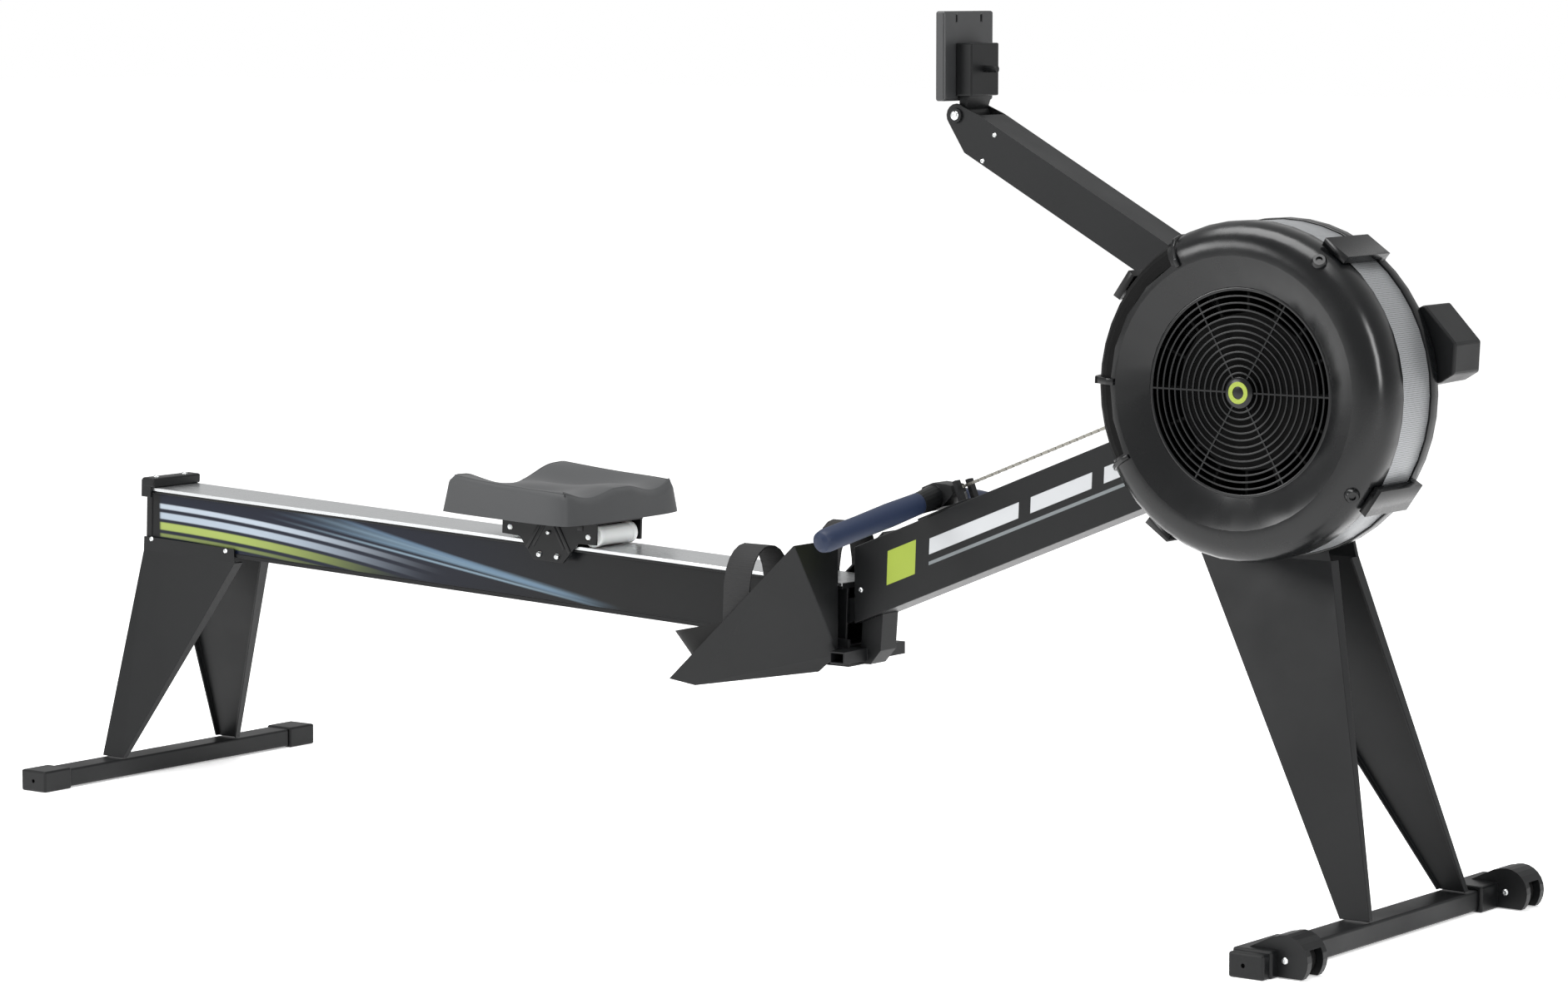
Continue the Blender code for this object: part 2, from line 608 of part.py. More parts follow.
def seat_pad():
    """A moulded pad: a dished top inside flared side walls, over a flat underside."""
    cells = 12
    mesh = bpy.data.meshes.new("seat_pad")
    shape = bmesh.new()
    bmesh.ops.create_grid(shape, x_segments=cells, y_segments=cells, size=1.0)
    base = list(shape.verts)
    walls = bmesh.ops.extrude_face_region(shape, geom=list(shape.faces))["geom"]
    top = [item for item in walls if isinstance(item, bmesh.types.BMVert)]
    for vert in top:
        vert.co.z = seat_height(vert.co.x, vert.co.y)
    for verts, flare in ((top, SEAT_FLARE), (base, 0.0)):
        for vert in verts:
            along, across = vert.co.x, vert.co.y
            soft = 1 - (0.08 if along > 0 else 0.035) * (abs(along) * abs(across)) ** 4
            vert.co.x = along * soft * (SEAT_DEPTH / 2 - flare)
            vert.co.y = across * soft * (SEAT_HALF - flare)
    bmesh.ops.recalc_face_normals(shape, faces=shape.faces)
    bmesh.ops.dissolve_limit(shape, angle_limit=radians(1), verts=base, edges=[])
    shape.to_mesh(mesh)
    shape.free()
    mesh.shade_smooth()
    mesh.set_sharp_from_angle(angle=radians(40))
    return add("seat_pad", mesh, SEAT_GREY, (SEAT_X - PAD_BACK, 0, SEAT_LIFT), parent=RAIL)


# --- Beam -------------------------------------------------------------------------------------


def beam_top_z(x):
    """World height of the beam's top face at machine X."""
    return beam_underside(x) + BEAM_HEIGHT / cos(BEAM_ANGLE)


def main_beam():
    """A folded steel box beam, open at both ends, with a slot for the chain in its top."""
    lean = BEAM_HEIGHT * tan(BEAM_ANGLE)
    shape = [(0.0, 0.0), (BEAM_LENGTH, 0.0), (BEAM_LENGTH, BEAM_HEIGHT), (lean, BEAM_HEIGHT)]
    beam = outline("main_beam", shape, 2 * BEAM_HALF, STEEL_BLACK, parent=BEAM)
    bore = box("beam_bore", (BEAM_LENGTH + 0.4, 2 * (BEAM_HALF - SHEET), BEAM_HEIGHT - 2 * SHEET),
               (BEAM_LENGTH / 2, 0, BEAM_HEIGHT / 2), parent=BEAM)
    slot = box("beam_slot", (SLOT_LENGTH, SLOT_WIDTH, 0.02), (slot_middle(), 0, BEAM_HEIGHT), parent=BEAM)
    axle = rod("beam_axle_hole", BEARING_R + GAP, 0.2, (0, 0, 0), parent=FAN)
    return cut(beam, bore, slot, axle)


def along_beam(x, z):
    """A machine point in the beam's frame: along it, and up from its underside."""
    forward, up = x - BEAM_X, z - BEAM_Z
    return (forward * cos(BEAM_ANGLE) + up * sin(BEAM_ANGLE), up * cos(BEAM_ANGLE) - forward * sin(BEAM_ANGLE))


def slot_middle():
    return along_beam(FAN_X, FAN_Z)[0] + 0.004


def beam_end_cap():
    """The moulded cap on the beam's upper end: a sloping nose over an upright face."""
    end = BEAM_LENGTH + GAP
    foot = (BEAM_X + end * cos(BEAM_ANGLE), BEAM_Z + end * sin(BEAM_ANGLE))
    head = (foot[0] - BEAM_HEIGHT * sin(BEAM_ANGLE), foot[1] + BEAM_HEIGHT * cos(BEAM_ANGLE))
    nose = FRONT_EDGE_X
    shape = [foot, head, (head[0] + 0.006, head[1] + 0.008), (nose - 0.047, NOSE_TOP_Z)]
    shape += [(nose, NOSE_TOP_Z - 0.049), (nose - 0.002, NOSE_TOP_Z - 0.089), (nose - 0.022, NOSE_TOP_Z - 0.101)]
    shape += [(nose - 0.073, NOSE_TOP_Z - 0.112)]
    cap = outline("beam_end_cap", shape, 2 * BEAM_HALF + 0.002, PLASTIC_BLACK)
    return rounded(cap, 0.003)


def joint_bracket():
    """The clamp under the joint of rail and beam, its lug, and the tube that carries the footboards."""
    wall = 0.004
    inside = RAIL_LIP_HALF + 0.001
    rear, front = BEAM_X - 0.078, BEAM_X - 0.003
    floor = 0.281
    shape = [(rear, floor), (front, floor), (front, rail_underside(front) + 0.014), (rear, rail_underside(rear) + 0.014)]
    clamp = outline("joint_bracket", shape, 2 * (inside + wall), STEEL_BLACK)
    hollow = [(rear - 0.01, floor + wall), (front + 0.01, floor + wall), (front + 0.01, 0.42), (rear - 0.01, 0.42)]
    space = outline("joint_bracket_space", hollow, 2 * inside)
    tip = BEAM_X + 0.040
    lug = [(BEAM_X - 0.040, floor + 0.001), (tip - 0.022, floor + 0.003), (tip - 0.004, floor + 0.024)]
    lug += [(tip, beam_underside(tip) - GAP), (BEAM_X + 0.004, beam_underside(BEAM_X + 0.004) - GAP)]
    lug += [(BEAM_X + 0.001, 0.303), (BEAM_X - 0.040, 0.303)]
    lug = outline("joint_lug", lug, 0.038)
    place = (BEAM_X, 0, floor + 0.017)
    tube = box("footrest_tube", (0.0252, 0.150, 0.018), place)
    bore = box("footrest_tube_bore", (0.021, 0.2, 0.013), place)
    return cut(join(cut(clamp, space), lug, tube), bore)


def splice():
    """The steel tongue inside the rail's end and the beam's end, which holds them in line."""
    rail_end = RAIL_LENGTH * cos(RAIL_SLOPE)
    low = rail_underside(rail_end)
    inner = RAIL_BODY_HALF - RAIL_BORE_WALL - 0.004
    shape = [(rail_end - 0.10, low + 0.016), (rail_end - 0.012, low + 0.032), (rail_end + 0.044, low + 0.054)]
    shape += [(rail_end + 0.032, low + 0.080), (rail_end + 0.008, low + 0.072), (rail_end - 0.10, low + 0.062)]
    return outline("rail_splice", shape, 2 * inner, STEEL_BLACK)


# --- Fan --------------------------------------------------------------------------------------


def fan_covers():
    """The inner cover on the beam's side, the perforated band, and the rounded outer cover."""
    low, high = INNER_COVER
    inner_r = COVER_R - COVER_WALL
    profile = [(inner_r, high), (COVER_R, high), (COVER_R, low), (0.030, low)]
    profile += [(0.030, low + COVER_WALL), (inner_r, low + COVER_WALL)]
    inner_cover = turned("fan_cover_inner", profile, PLASTIC_BLACK)
    join(inner_cover, *band_clips())
    band_low, band_high = high + GAP, OUTER_COVER[0] - GAP
    band = [(BAND_R - BAND_SHEET, band_high), (BAND_R, band_high), (BAND_R, band_low)]
    band += [(BAND_R - BAND_SHEET, band_low)]
    turned("fan_band", band, BAND_GREY)
    outer = turned("fan_cover_outer", cover_profile(), PLASTIC_BLACK)
    window = wedge("damper_window", *WINDOW_SPAN, COVER_R - SHOULDER_R - 0.001, 0.26, 0.112, 0.21)
    cut(outer, window)


def shoulder(offset, points=6):
    """The cover's rounded shoulder as an arc, this far inside its outer face."""
    center = (COVER_R - SHOULDER_R, OUTER_COVER[1] - SHOULDER_R)
    return arc(center, SHOULDER_R - offset, 90.0, 0.0, points)


def cover_profile():
    low, high = OUTER_COVER
    dish = (GRILLE_R + 0.001, high - DISH_DEPTH)
    profile = [dish, (DISH_R, high), *shoulder(0.0), (COVER_R, low), (COVER_R - COVER_WALL, low)]
    profile += [*reversed(shoulder(COVER_WALL)), (DISH_R + 0.001, high - COVER_WALL)]
    return profile + [(dish[0], dish[1] - COVER_WALL)]


def grille():
    """The flat guard over the fan: rings held by spokes that stand a little proud of them."""
    inner = HUB_CAP_R + 0.002
    pitch = (GRILLE_R - 0.003 - inner) / GRILLE_RINGS
    level = OUTER_COVER[1] - DISH_DEPTH - GRILLE_THICK / 2
    place = (0, -level, 0)
    rim_hole = [circle((0, 0), GRILLE_R - 0.007, 48)]
    guard = outline("fan_grille", circle((0, 0), GRILLE_R, 48), GRILLE_THICK, PLASTIC_BLACK, place, FAN, rim_hole)
    pieces = []
    for ring in range(1, GRILLE_RINGS):
        radius = inner + ring * pitch
        hole = [circle((0, 0), radius - 0.004, 36)]
        pieces.append(outline(f"guard_ring_{ring}", circle((0, 0), radius, 36), GRILLE_THICK, None, place, FAN, hole))
    for spoke in range(GRILLE_SPOKES):
        turn = spoke * 2 * pi / GRILLE_SPOKES
        length = GRILLE_R - 0.010
        middle = (0.006 + length / 2 - 0.002)
        pieces.append(box(f"guard_spoke_{spoke}", (length, GRILLE_THICK + 0.0008, 0.0044),
                          (middle * cos(turn), -level, middle * sin(turn)), rotation=(0, -turn, 0), parent=FAN))
    top = level + GRILLE_THICK / 2
    profile = [(0.0, top + 0.004), (HUB_CAP_R - 0.002, top + 0.004), (HUB_CAP_R, top + 0.002)]
    profile += [(HUB_CAP_R, top - GRILLE_THICK), (0.0, top - GRILLE_THICK)]
    join(guard, *pieces, turned("hub_cap", profile, None, False, 24))


def flywheel():
    """A fan wheel: a drum with straight blades, on its axle."""
    low, high = WHEEL_DEPTH
    rim = []
    blade_half = 0.0022
    for blade in range(BLADES):
        middle = blade * 360 / BLADES
        for radius, sign in ((WHEEL_DRUM_R, -1), (WHEEL_R, -1), (WHEEL_R, 1), (WHEEL_DRUM_R, 1)):
            angle = radians(middle) + sign * blade_half / radius
            rim.append((radius * cos(angle), radius * sin(angle)))
    bore = circle((0, 0), AXLE_R + GAP, 24)
    outline("flywheel", rim, high - low, STAINLESS, (0, -(low + high) / 2, 0), FAN, (bore,))
    start, end = -0.046, high + 0.008
    rod("flywheel_axle", AXLE_R, end - start, (0, -(start + end) / 2, 0), NICKEL, FAN)


def bearings():
    """Two flanged ball bearings in the beam's sides, which the axle turns in."""
    for side, word in ((1, "right"), (-1, "left")):
        face = BEAM_HALF - SHEET - 0.003
        rim = BEAM_HALF + GAP + 0.002
        profile = [(AXLE_R + RUN / 4, rim), (BEARING_R + 0.003, rim), (BEARING_R + 0.003, rim - 0.002)]
        profile += [(BEARING_R, rim - 0.002), (BEARING_R, face), (AXLE_R + RUN / 4, face)]
        if side < 0:
            profile = [(radius, -height) for radius, height in reversed(profile)]
        turned(f"axle_bearing_{word}", profile, NICKEL, True, 32)


def damper():
    """The shutter inside the outer cover's shoulder, with its lever out through the window."""
    low = 0.104
    depth = DAMPER_GAP + COVER_WALL
    outer = shoulder(depth)
    profile = [*outer, (outer[-1][0], low), (outer[-1][0] - DAMPER_WALL, low)]
    profile += list(reversed(shoulder(depth + DAMPER_WALL)))
    shutter = turned("damper", profile, PLASTIC_BLACK)
    sector = wedge("damper_sector", *DAMPER_SPAN, 0.10, 0.26, 0.09, 0.21)
    boolean(shutter, sector, "INTERSECT")
    turn = radians(LEVER_ANGLE)
    reach_in, reach_out = COVER_R - SHOULDER_R + 0.004, COVER_R - 0.009
    middle = (reach_in + reach_out) / 2
    lever = box("damper_lever", (reach_out - reach_in, 0.050, 0.009),
                (middle * cos(turn), -0.1555, middle * sin(turn)), rotation=(0, -turn, 0), parent=FAN)
    return join(shutter, lever)


def band_clips():
    """Four clips moulded on the inner cover, which hook over the outer cover across the band."""
    clips = []
    inner, outer = COVER_R + CLIP_GAP, COVER_R + CLIP_THICK
    low, high = INNER_COVER[0] + 0.004, OUTER_COVER[0] + 0.022
    for angle in CLIP_ANGLES:
        ring = []
        for radius, sign in ((inner, -1), (outer, -1), (outer, 1), (inner, 1)):
            turn = radians(angle + sign * CLIP_HALF_ANGLE)
            ring.append((radius * cos(turn), radius * sin(turn)))
        clip = outline(f"clip_{angle}", ring, high - low, None, (0, -(low + high) / 2, 0), FAN)
        turn = radians(angle)
        root_r = COVER_R + CLIP_THICK / 2 - 0.004
        root = box(f"clip_root_{angle}", (CLIP_THICK, 0.040, INNER_COVER[1] - low),
                   (root_r * cos(turn), -(low + INNER_COVER[1]) / 2, root_r * sin(turn)),
                   None, (pi / 2, 0, 0), FAN)
        root.rotation_euler = (pi / 2, 0, 0)
        root.matrix_basis = (Matrix.Translation(root.location) @ Matrix.Rotation(-turn, 4, "Y")
                             @ Matrix.Rotation(pi / 2, 4, "X"))
        clips += [clip, root]
    return clips


# --- Chain and handle -------------------------------------------------------------------------


def chain_z(x):
    """World height of the taut chain at machine X, while the handle is parked."""
    return beam_top_z(x) + CHAIN_RISE / cos(BEAM_ANGLE)


def sprocket_radius():
    return CHAIN_PITCH / (2 * sin(pi / SPROCKET_TEETH))


def band_around(path, thickness):
    """The outline of a flat strip of this thickness along a path of (X, Z) points."""
    left, right = [], []
    for i, point in enumerate(path):
        before, after = path[max(i - 1, 0)], path[min(i + 1, len(path) - 1)]
        run = hypot(after[0] - before[0], after[1] - before[1])
        across = (-(after[1] - before[1]) / run, (after[0] - before[0]) / run)
        left.append((point[0] + across[0] * thickness / 2, point[1] + across[1] * thickness / 2))
        right.append((point[0] - across[0] * thickness / 2, point[1] - across[1] * thickness / 2))
    return left + right[::-1]


def sprocket():
    """The toothed wheel on the axle that the chain turns."""
    pitch_r = sprocket_radius()
    teeth = []
    step = 360.0 / SPROCKET_TEETH
    for tooth in range(SPROCKET_TEETH):
        for radius, share in ((pitch_r - 0.0024, 0.0), (pitch_r + 0.0002, 0.4), (pitch_r + 0.0002, 0.6)):
            angle = radians((tooth + share) * step)
            teeth.append((radius * cos(angle), radius * sin(angle)))
    bore = circle((0, 0), AXLE_R + RUN / 4, 24)
    wheel = outline("sprocket", teeth, 0.0028, NICKEL, (0, 0, 0), FAN, (bore,))
    collar = outline("sprocket_collar", circle((0, 0), AXLE_R + 0.006, 24), 0.016, None, (0, 0, 0), FAN, (bore,))
    return join(wheel, collar)


def on_beam(along, up):
    """A machine point (X, Z) from a point of the beam's frame."""
    x = BEAM_X + along * cos(BEAM_ANGLE) - up * sin(BEAM_ANGLE)
    return (x, BEAM_Z + along * sin(BEAM_ANGLE) + up * cos(BEAM_ANGLE))


def hidden_chain():
    """The chain's run from its guide over the sprocket and down the beam, which stays inside."""
    radius = sprocket_radius() + CHAIN_HEIGHT / 2 + 0.0014
    start = (GUIDE_X + GUIDE_SIZE[0] / 2 + 0.004, chain_z(GUIDE_X) + 0.003)
    over = arc((FAN_X, FAN_Z), radius, 105.0, -60.0, 12)
    end = on_beam(CORD_START, PULLEY_Z + PULLEY_R + 0.004)
    outline("chain_return", band_around([start, *over, end], CHAIN_HEIGHT), CHAIN_WIDTH, NICKEL)


def bungee():
    """The shock cord that pulls the chain back: from the chain's end, round a pulley, to a hook."""
    pulley = on_beam(PULLEY_X, PULLEY_Z)
    radius = PULLEY_R + 0.004
    tilt = BEAM_ANGLE * 180 / pi
    around = arc(pulley, radius, tilt + 90.0, tilt + 270.0, 11)
    start = on_beam(CORD_START - 0.001, PULLEY_Z + radius)
    anchor = on_beam(CORD_ANCHOR, PULLEY_Z - radius)
    outline("bungee_cord", band_around([start, *around, anchor], 0.006), 0.006, RUBBER_BLACK)
    profile = [(0.0, 0.008), (PULLEY_R, 0.008), (PULLEY_R, 0.005), (PULLEY_R - 0.002, 0.003)]
    profile += [(PULLEY_R - 0.002, -0.003), (PULLEY_R, -0.005), (PULLEY_R, -0.008), (0.0, -0.008)]
    place = (pulley[0], 0, pulley[1])
    wheel = turned("return_pulley", profile, PLASTIC_BLACK, False, 24, place, MACHINE)
    pin = rod("return_pulley_pin", 0.003, 2 * (BEAM_HALF - SHEET - RUN), place, sides=12)
    join(wheel, pin)


def chain_guide():
    """A swivelling guide that the chain leaves through, on a small bracket on the beam's top."""
    place = (GUIDE_X, 0, chain_z(GUIDE_X))
    guide = box("chain_guide", GUIDE_SIZE, place, PLASTIC_BLACK, (0, -BEAM_ANGLE, 0))
    pins = rod("chain_guide_pins", 0.004, GUIDE_SIZE[1] + 0.016, place, sides=16)
    bore = box("chain_guide_bore", (0.06, CHAIN_WIDTH + 2 * RUN, CHAIN_HEIGHT + 2 * RUN), place,
               None, (0, -BEAM_ANGLE, 0))
    cut(join(guide, pins), bore)
    height = CHAIN_RISE + 0.010
    local_x = along_beam(place[0], place[2])[0]
    base = box("chain_guide_bracket", (0.026, GUIDE_SIZE[1] + 0.018, 0.003),
               (local_x, 0, BEAM_HEIGHT + GAP + 0.0015), STEEL_BLACK, parent=BEAM)
    for side in (-1, 1):
        ear = box(f"guide_ear_{side}", (0.016, 0.004, height),
                  (local_x, side * (GUIDE_SIZE[1] / 2 + 0.005), BEAM_HEIGHT + GAP + height / 2), parent=BEAM)
        join(base, ear)
    pin_hole = rod("guide_pin_hole", 0.004 + RUN, 0.08, place, sides=16)
    cut(base, pin_hole)


def visible_chain():
    start = HANDLE_X + 0.034
    end = GUIDE_X
    length = (end - start) / cos(BEAM_ANGLE)
    middle = (start + end) / 2
    box("chain_run", (length, CHAIN_WIDTH, CHAIN_HEIGHT), (middle, 0, chain_z(middle)), NICKEL,
        (0, -BEAM_ANGLE, 0))


def handle():
    """A bent bar with a moulded core and two soft grips; the chain is pinned to the core."""
    place = Vector((HANDLE_X, 0.0, chain_z(HANDLE_X)))
    shape = [(-0.020, -0.016), (0.008, -0.017), (0.026, -0.010), (0.033, -0.0055), (0.033, 0.0055)]
    shape += [(0.026, 0.010), (0.006, 0.019), (-0.014, 0.019), (-0.022, 0.010), (-0.024, -0.006)]
    core = outline("handle_core", shape, 0.034, PLASTIC_BLACK, place, rotation=(pi / 2, -BEAM_ANGLE, 0))
    for side, word in ((-1, "right"), (1, "left")):
        tip = place + HANDLE_BEND + Vector((0, side * HANDLE_REACH, 0))
        root = place + Vector((0, side * 0.012, 0))
        direction = (tip - root).normalized()
        along = direction.to_track_quat("Z", "Y").to_euler()
        knuckle_length = HANDLE_CORE - 0.012
        knuckle = turned(f"knuckle_{word}", [(0.0, knuckle_length), (GRIP_R - 0.001, knuckle_length),
                                             (GRIP_R + 0.001, 0.012), (GRIP_R + 0.001, 0.0), (0.0, 0.0)],
                         None, False, 20, root, MACHINE)
        knuckle.rotation_euler = along
        join(core, knuckle)
        start = root + direction * (knuckle_length + GAP)
        length = (tip - start).length
        profile = [(0.0, length), (GRIP_R * 0.55, length - 0.001), (GRIP_R * 0.88, length - 0.006)]
        profile += [(GRIP_R * 1.02, length - 0.016), (GRIP_R, length * 0.6), (GRIP_R * 1.04, length * 0.3)]
        profile += [(GRIP_R * 0.95, 0.006), (GRIP_R * 0.95, 0.0), (0.0, 0.0)]
        grip = turned(f"grip_{word}", profile, GRIP_BLUE, False, 20, start, MACHINE)
        grip.rotation_euler = along


def handle_hook():
    """Two prongs on the beam's top that stop the parked handle, and the pad that it lies on."""
    local_x = along_beam(HANDLE_X, chain_z(HANDLE_X))[0]
    base = box("handle_hook", (0.090, 0.050, 0.0035), (local_x + 0.012, 0, BEAM_HEIGHT + GAP + 0.00175),
               STEEL_BLACK, parent=BEAM)
    for side in (-1, 1):
        prong = box(f"hook_prong_{side}", (0.006, 0.012, 0.034),
                    (local_x + 0.044, side * 0.016, BEAM_HEIGHT + GAP + 0.017), parent=BEAM)
        join(base, prong)
    return base


# --- Footboards -------------------------------------------------------------------------------


def on_board(along, y, lift):
    """A machine point: this far up the board from the heel, across, and square out of the board."""
    x = HEEL_X + along * cos(BOARD_ANGLE) - lift * sin(BOARD_ANGLE)
    z = HEEL_Z + along * sin(BOARD_ANGLE) + lift * cos(BOARD_ANGLE)
    return Vector((x, y, z))


def footboard(side, word):
    """A moulded wedge: the sloping board, a leaning outer wall and a front wall, open underneath."""
    outer, inner = side * BOARD_OUTER, side * BOARD_INNER
    heel_outer, toe_outer = on_board(0, outer, 0), on_board(BOARD_LENGTH, outer, 0)
    heel_inner, toe_inner = on_board(0, inner, 0), on_board(BOARD_LENGTH, inner, 0)
    keel_z = HEEL_Z - 0.008
    keel = Vector((HEEL_X + 0.038, outer - side * 0.012, keel_z))
    low_front = Vector((toe_inner.x, inner, HEEL_Z + 0.042))
    low_heel = Vector((HEEL_X + 0.190, inner, HEEL_Z + 0.014))
    mesh = bpy.data.meshes.new(f"footboard_{word}")
    shape = bmesh.new()
    corners = (heel_outer, toe_outer, heel_inner, toe_inner, keel, low_front, low_heel)
    for corner in corners:
        shape.verts.new(corner)
    bmesh.ops.convex_hull(shape, input=shape.verts)
    shape.normal_update()
    open_side = [face for face in shape.faces if face.normal.y * side < -0.9]
    bmesh.ops.delete(shape, geom=open_side, context="FACES_ONLY")
    bmesh.ops.dissolve_limit(shape, angle_limit=radians(2), verts=shape.verts, edges=shape.edges)
    shape.to_mesh(mesh)
    shape.free()
    board = add(f"footboard_{word}", mesh, PLASTIC_BLACK)
    wall = board.modifiers.new("wall", "SOLIDIFY")
    wall.thickness = BOARD_WALL
    wall.offset = -1.0
    wall.use_even_offset = True
    return board


def board_frame(word, side):
    middle = side * (BOARD_OUTER + BOARD_INNER) / 2
    place = on_board(0, middle, 0)
    return empty(f"board_frame_{word}", place, -BOARD_ANGLE, MACHINE)


def heel_cup(word, frame):
    """A sliding heel rest: a sole plate with a curved wall that gets lower towards the toes."""
    half = (BOARD_OUTER - BOARD_INNER) / 2 - 0.006
    wall = 0.003
    sole_z = GAP + 0.0015
    sole = [(CUP_LENGTH, half), (CUP_LENGTH, -half)]
    back = arc((CUP_START + half, 0), half, 270.0, 90.0, 13)
    sole = [(CUP_LENGTH, -half), (CUP_LENGTH, half), *reversed(back)]
    name = f"heel_cup_{word}"
    cup = outline(name, sole, 0.003, RUBBER_BLACK, (0, 0, sole_z), frame, (), (0, 0, 0))
    ring = [(CUP_LENGTH, half), *reversed(back), (CUP_LENGTH, -half), (CUP_LENGTH, -half + wall)]
    ring += [*arc((CUP_START + half, 0), half - wall, 270.0, 90.0, 13), (CUP_LENGTH, half - wall)]
    rim = outline(name + "_wall", ring, CUP_HEIGHT, None, (0, 0, sole_z + CUP_HEIGHT / 2), frame, (), (0, 0, 0))
    fall = atan2(CUP_HEIGHT - 0.006, CUP_LENGTH - CUP_START - 0.012)
    slope = box(name + "_slope", (0.4, 0.2, 0.1), (0, 0, 0), parent=frame)
    slope.rotation_euler = (0, fall, 0)
    lift = Vector((CUP_START + 0.006, 0, CUP_HEIGHT)) + Matrix.Rotation(fall, 3, "Y") @ Vector((0, 0, 0.05))
    slope.location = lift
    cut(rim, slope)
    return join(cup, rim)


def strap(word, side, frame):
    """The foot strap: an upright arch of webbing over the foot, its ends cut to the sloping board."""
    half = (BOARD_OUTER - BOARD_INNER) / 2 - 0.0025
    inner_half = half - STRAP_THICK
    foot_z = HEEL_Z + (STRAP_MIDDLE - HEEL_X) * tan(BOARD_ANGLE)
    drop = 0.030
    rise, inner_rise = STRAP_RISE[word], STRAP_RISE[word] - STRAP_THICK
    turns = range(0, 181, 15)
    outer = [(half * cos(radians(t)), rise * sin(radians(t)) ** 0.7) for t in turns]
    inner = [(inner_half * cos(radians(t)), inner_rise * sin(radians(t)) ** 0.7) for t in reversed(turns)]
    shape = [(half, -drop), *outer, (-half, -drop), (-inner_half, -drop), *inner, (inner_half, -drop)]
    middle = side * (BOARD_OUTER + BOARD_INNER) / 2
    arch = outline(f"strap_{word}", shape, STRAP_WIDTH, WEBBING, (STRAP_MIDDLE, middle, foot_z), MACHINE, (), ALONG_X)
    under = box(f"strap_{word}_under", (0.5, 0.2, 0.1), (0.15, 0, STRAP_LIFT - 0.05), parent=frame)
    return cut(arch, under)


def footrests():
    for side, word in ((-1, "right"), (1, "left")):
        footboard(side, word)
        frame = board_frame(word, side)
        heel_cup(word, frame)
        strap(word, side, frame)


# --- Monitor arm ------------------------------------------------------------------------------


def head_on_arm():
    """The monitor's tilt pivot in the arm's frame."""
    forward, up = HEAD_PIVOT[0] - ARM_PIVOT[0], HEAD_PIVOT[1] - ARM_PIVOT[1]
    lean = ARM_ANGLE - pi
    return (forward * cos(lean) + up * sin(lean), up * cos(lean) - forward * sin(lean))


def monitor_arm():
    """A folded steel channel, open underneath, with two rounded ears that hold the monitor bracket."""
    half = ARM_HEIGHT / 2
    head = head_on_arm()
    shape = arc((0, 0), half, -90.0, 90.0, 9)
    shape += [(-ARM_LENGTH + 0.006, half), *arc(head, EAR_R, 75.0, 250.0, 9), (-ARM_LENGTH + 0.012, -half)]
    holes = (circle((0, 0), ARM_PIN_R + GAP, 16), circle(head, HEAD_BOLT_R + GAP, 16))
    arm = outline("monitor_arm", shape, 2 * ARM_HALF, STEEL_BLACK, parent=ARM, holes=holes)
    inside = 2 * (ARM_HALF - SHEET)
    plug = -ARM_LENGTH + 0.040
    channel = box("arm_channel", (0.05 - plug, inside, ARM_HEIGHT), ((0.05 + plug) / 2, 0, -SHEET), parent=ARM)
    mouth = box("arm_mouth", (0.10, inside, 0.12), (-ARM_LENGTH + 0.008 - 0.05, 0, 0), parent=ARM)
    return cut(arm, channel, mouth)


def arm_clevis():
    """The bracket on the beam's top that the arm folds on, with its pivot pin."""
    px, pz = ARM_PIVOT
    local_x, local_z = along_beam(px, pz)
    inside = ARM_HALF - SHEET - 0.001
    height = local_z - BEAM_HEIGHT + 0.014
    base_z = BEAM_HEIGHT + GAP
    rear, front = slot_middle() - SLOT_LENGTH / 2 - 0.020, slot_middle() + SLOT_LENGTH / 2 - 0.004
    clevis = box("arm_clevis", (front - rear, 2 * inside, 0.003), ((rear + front) / 2, 0, base_z + 0.0015),
                 STEEL_BLACK, parent=BEAM)
    for side in (-1, 1):
        ear = box(f"arm_ear_{side}", (0.026, 0.004, height),
                  (local_x, side * (inside - 0.002), base_z + height / 2), parent=BEAM)
        join(clevis, ear)
    slot = box("clevis_slot", (SLOT_LENGTH, SLOT_WIDTH, 0.02), (slot_middle(), 0, base_z), parent=BEAM)
    hole = rod("clevis_hole", ARM_PIN_R + GAP, 0.1, (px, 0, pz), sides=16)
    cut(clevis, slot, hole)
    return rod("arm_pivot_pin", ARM_PIN_R, 2 * ARM_HALF + 0.008, (px, 0, pz), NICKEL, sides=16)


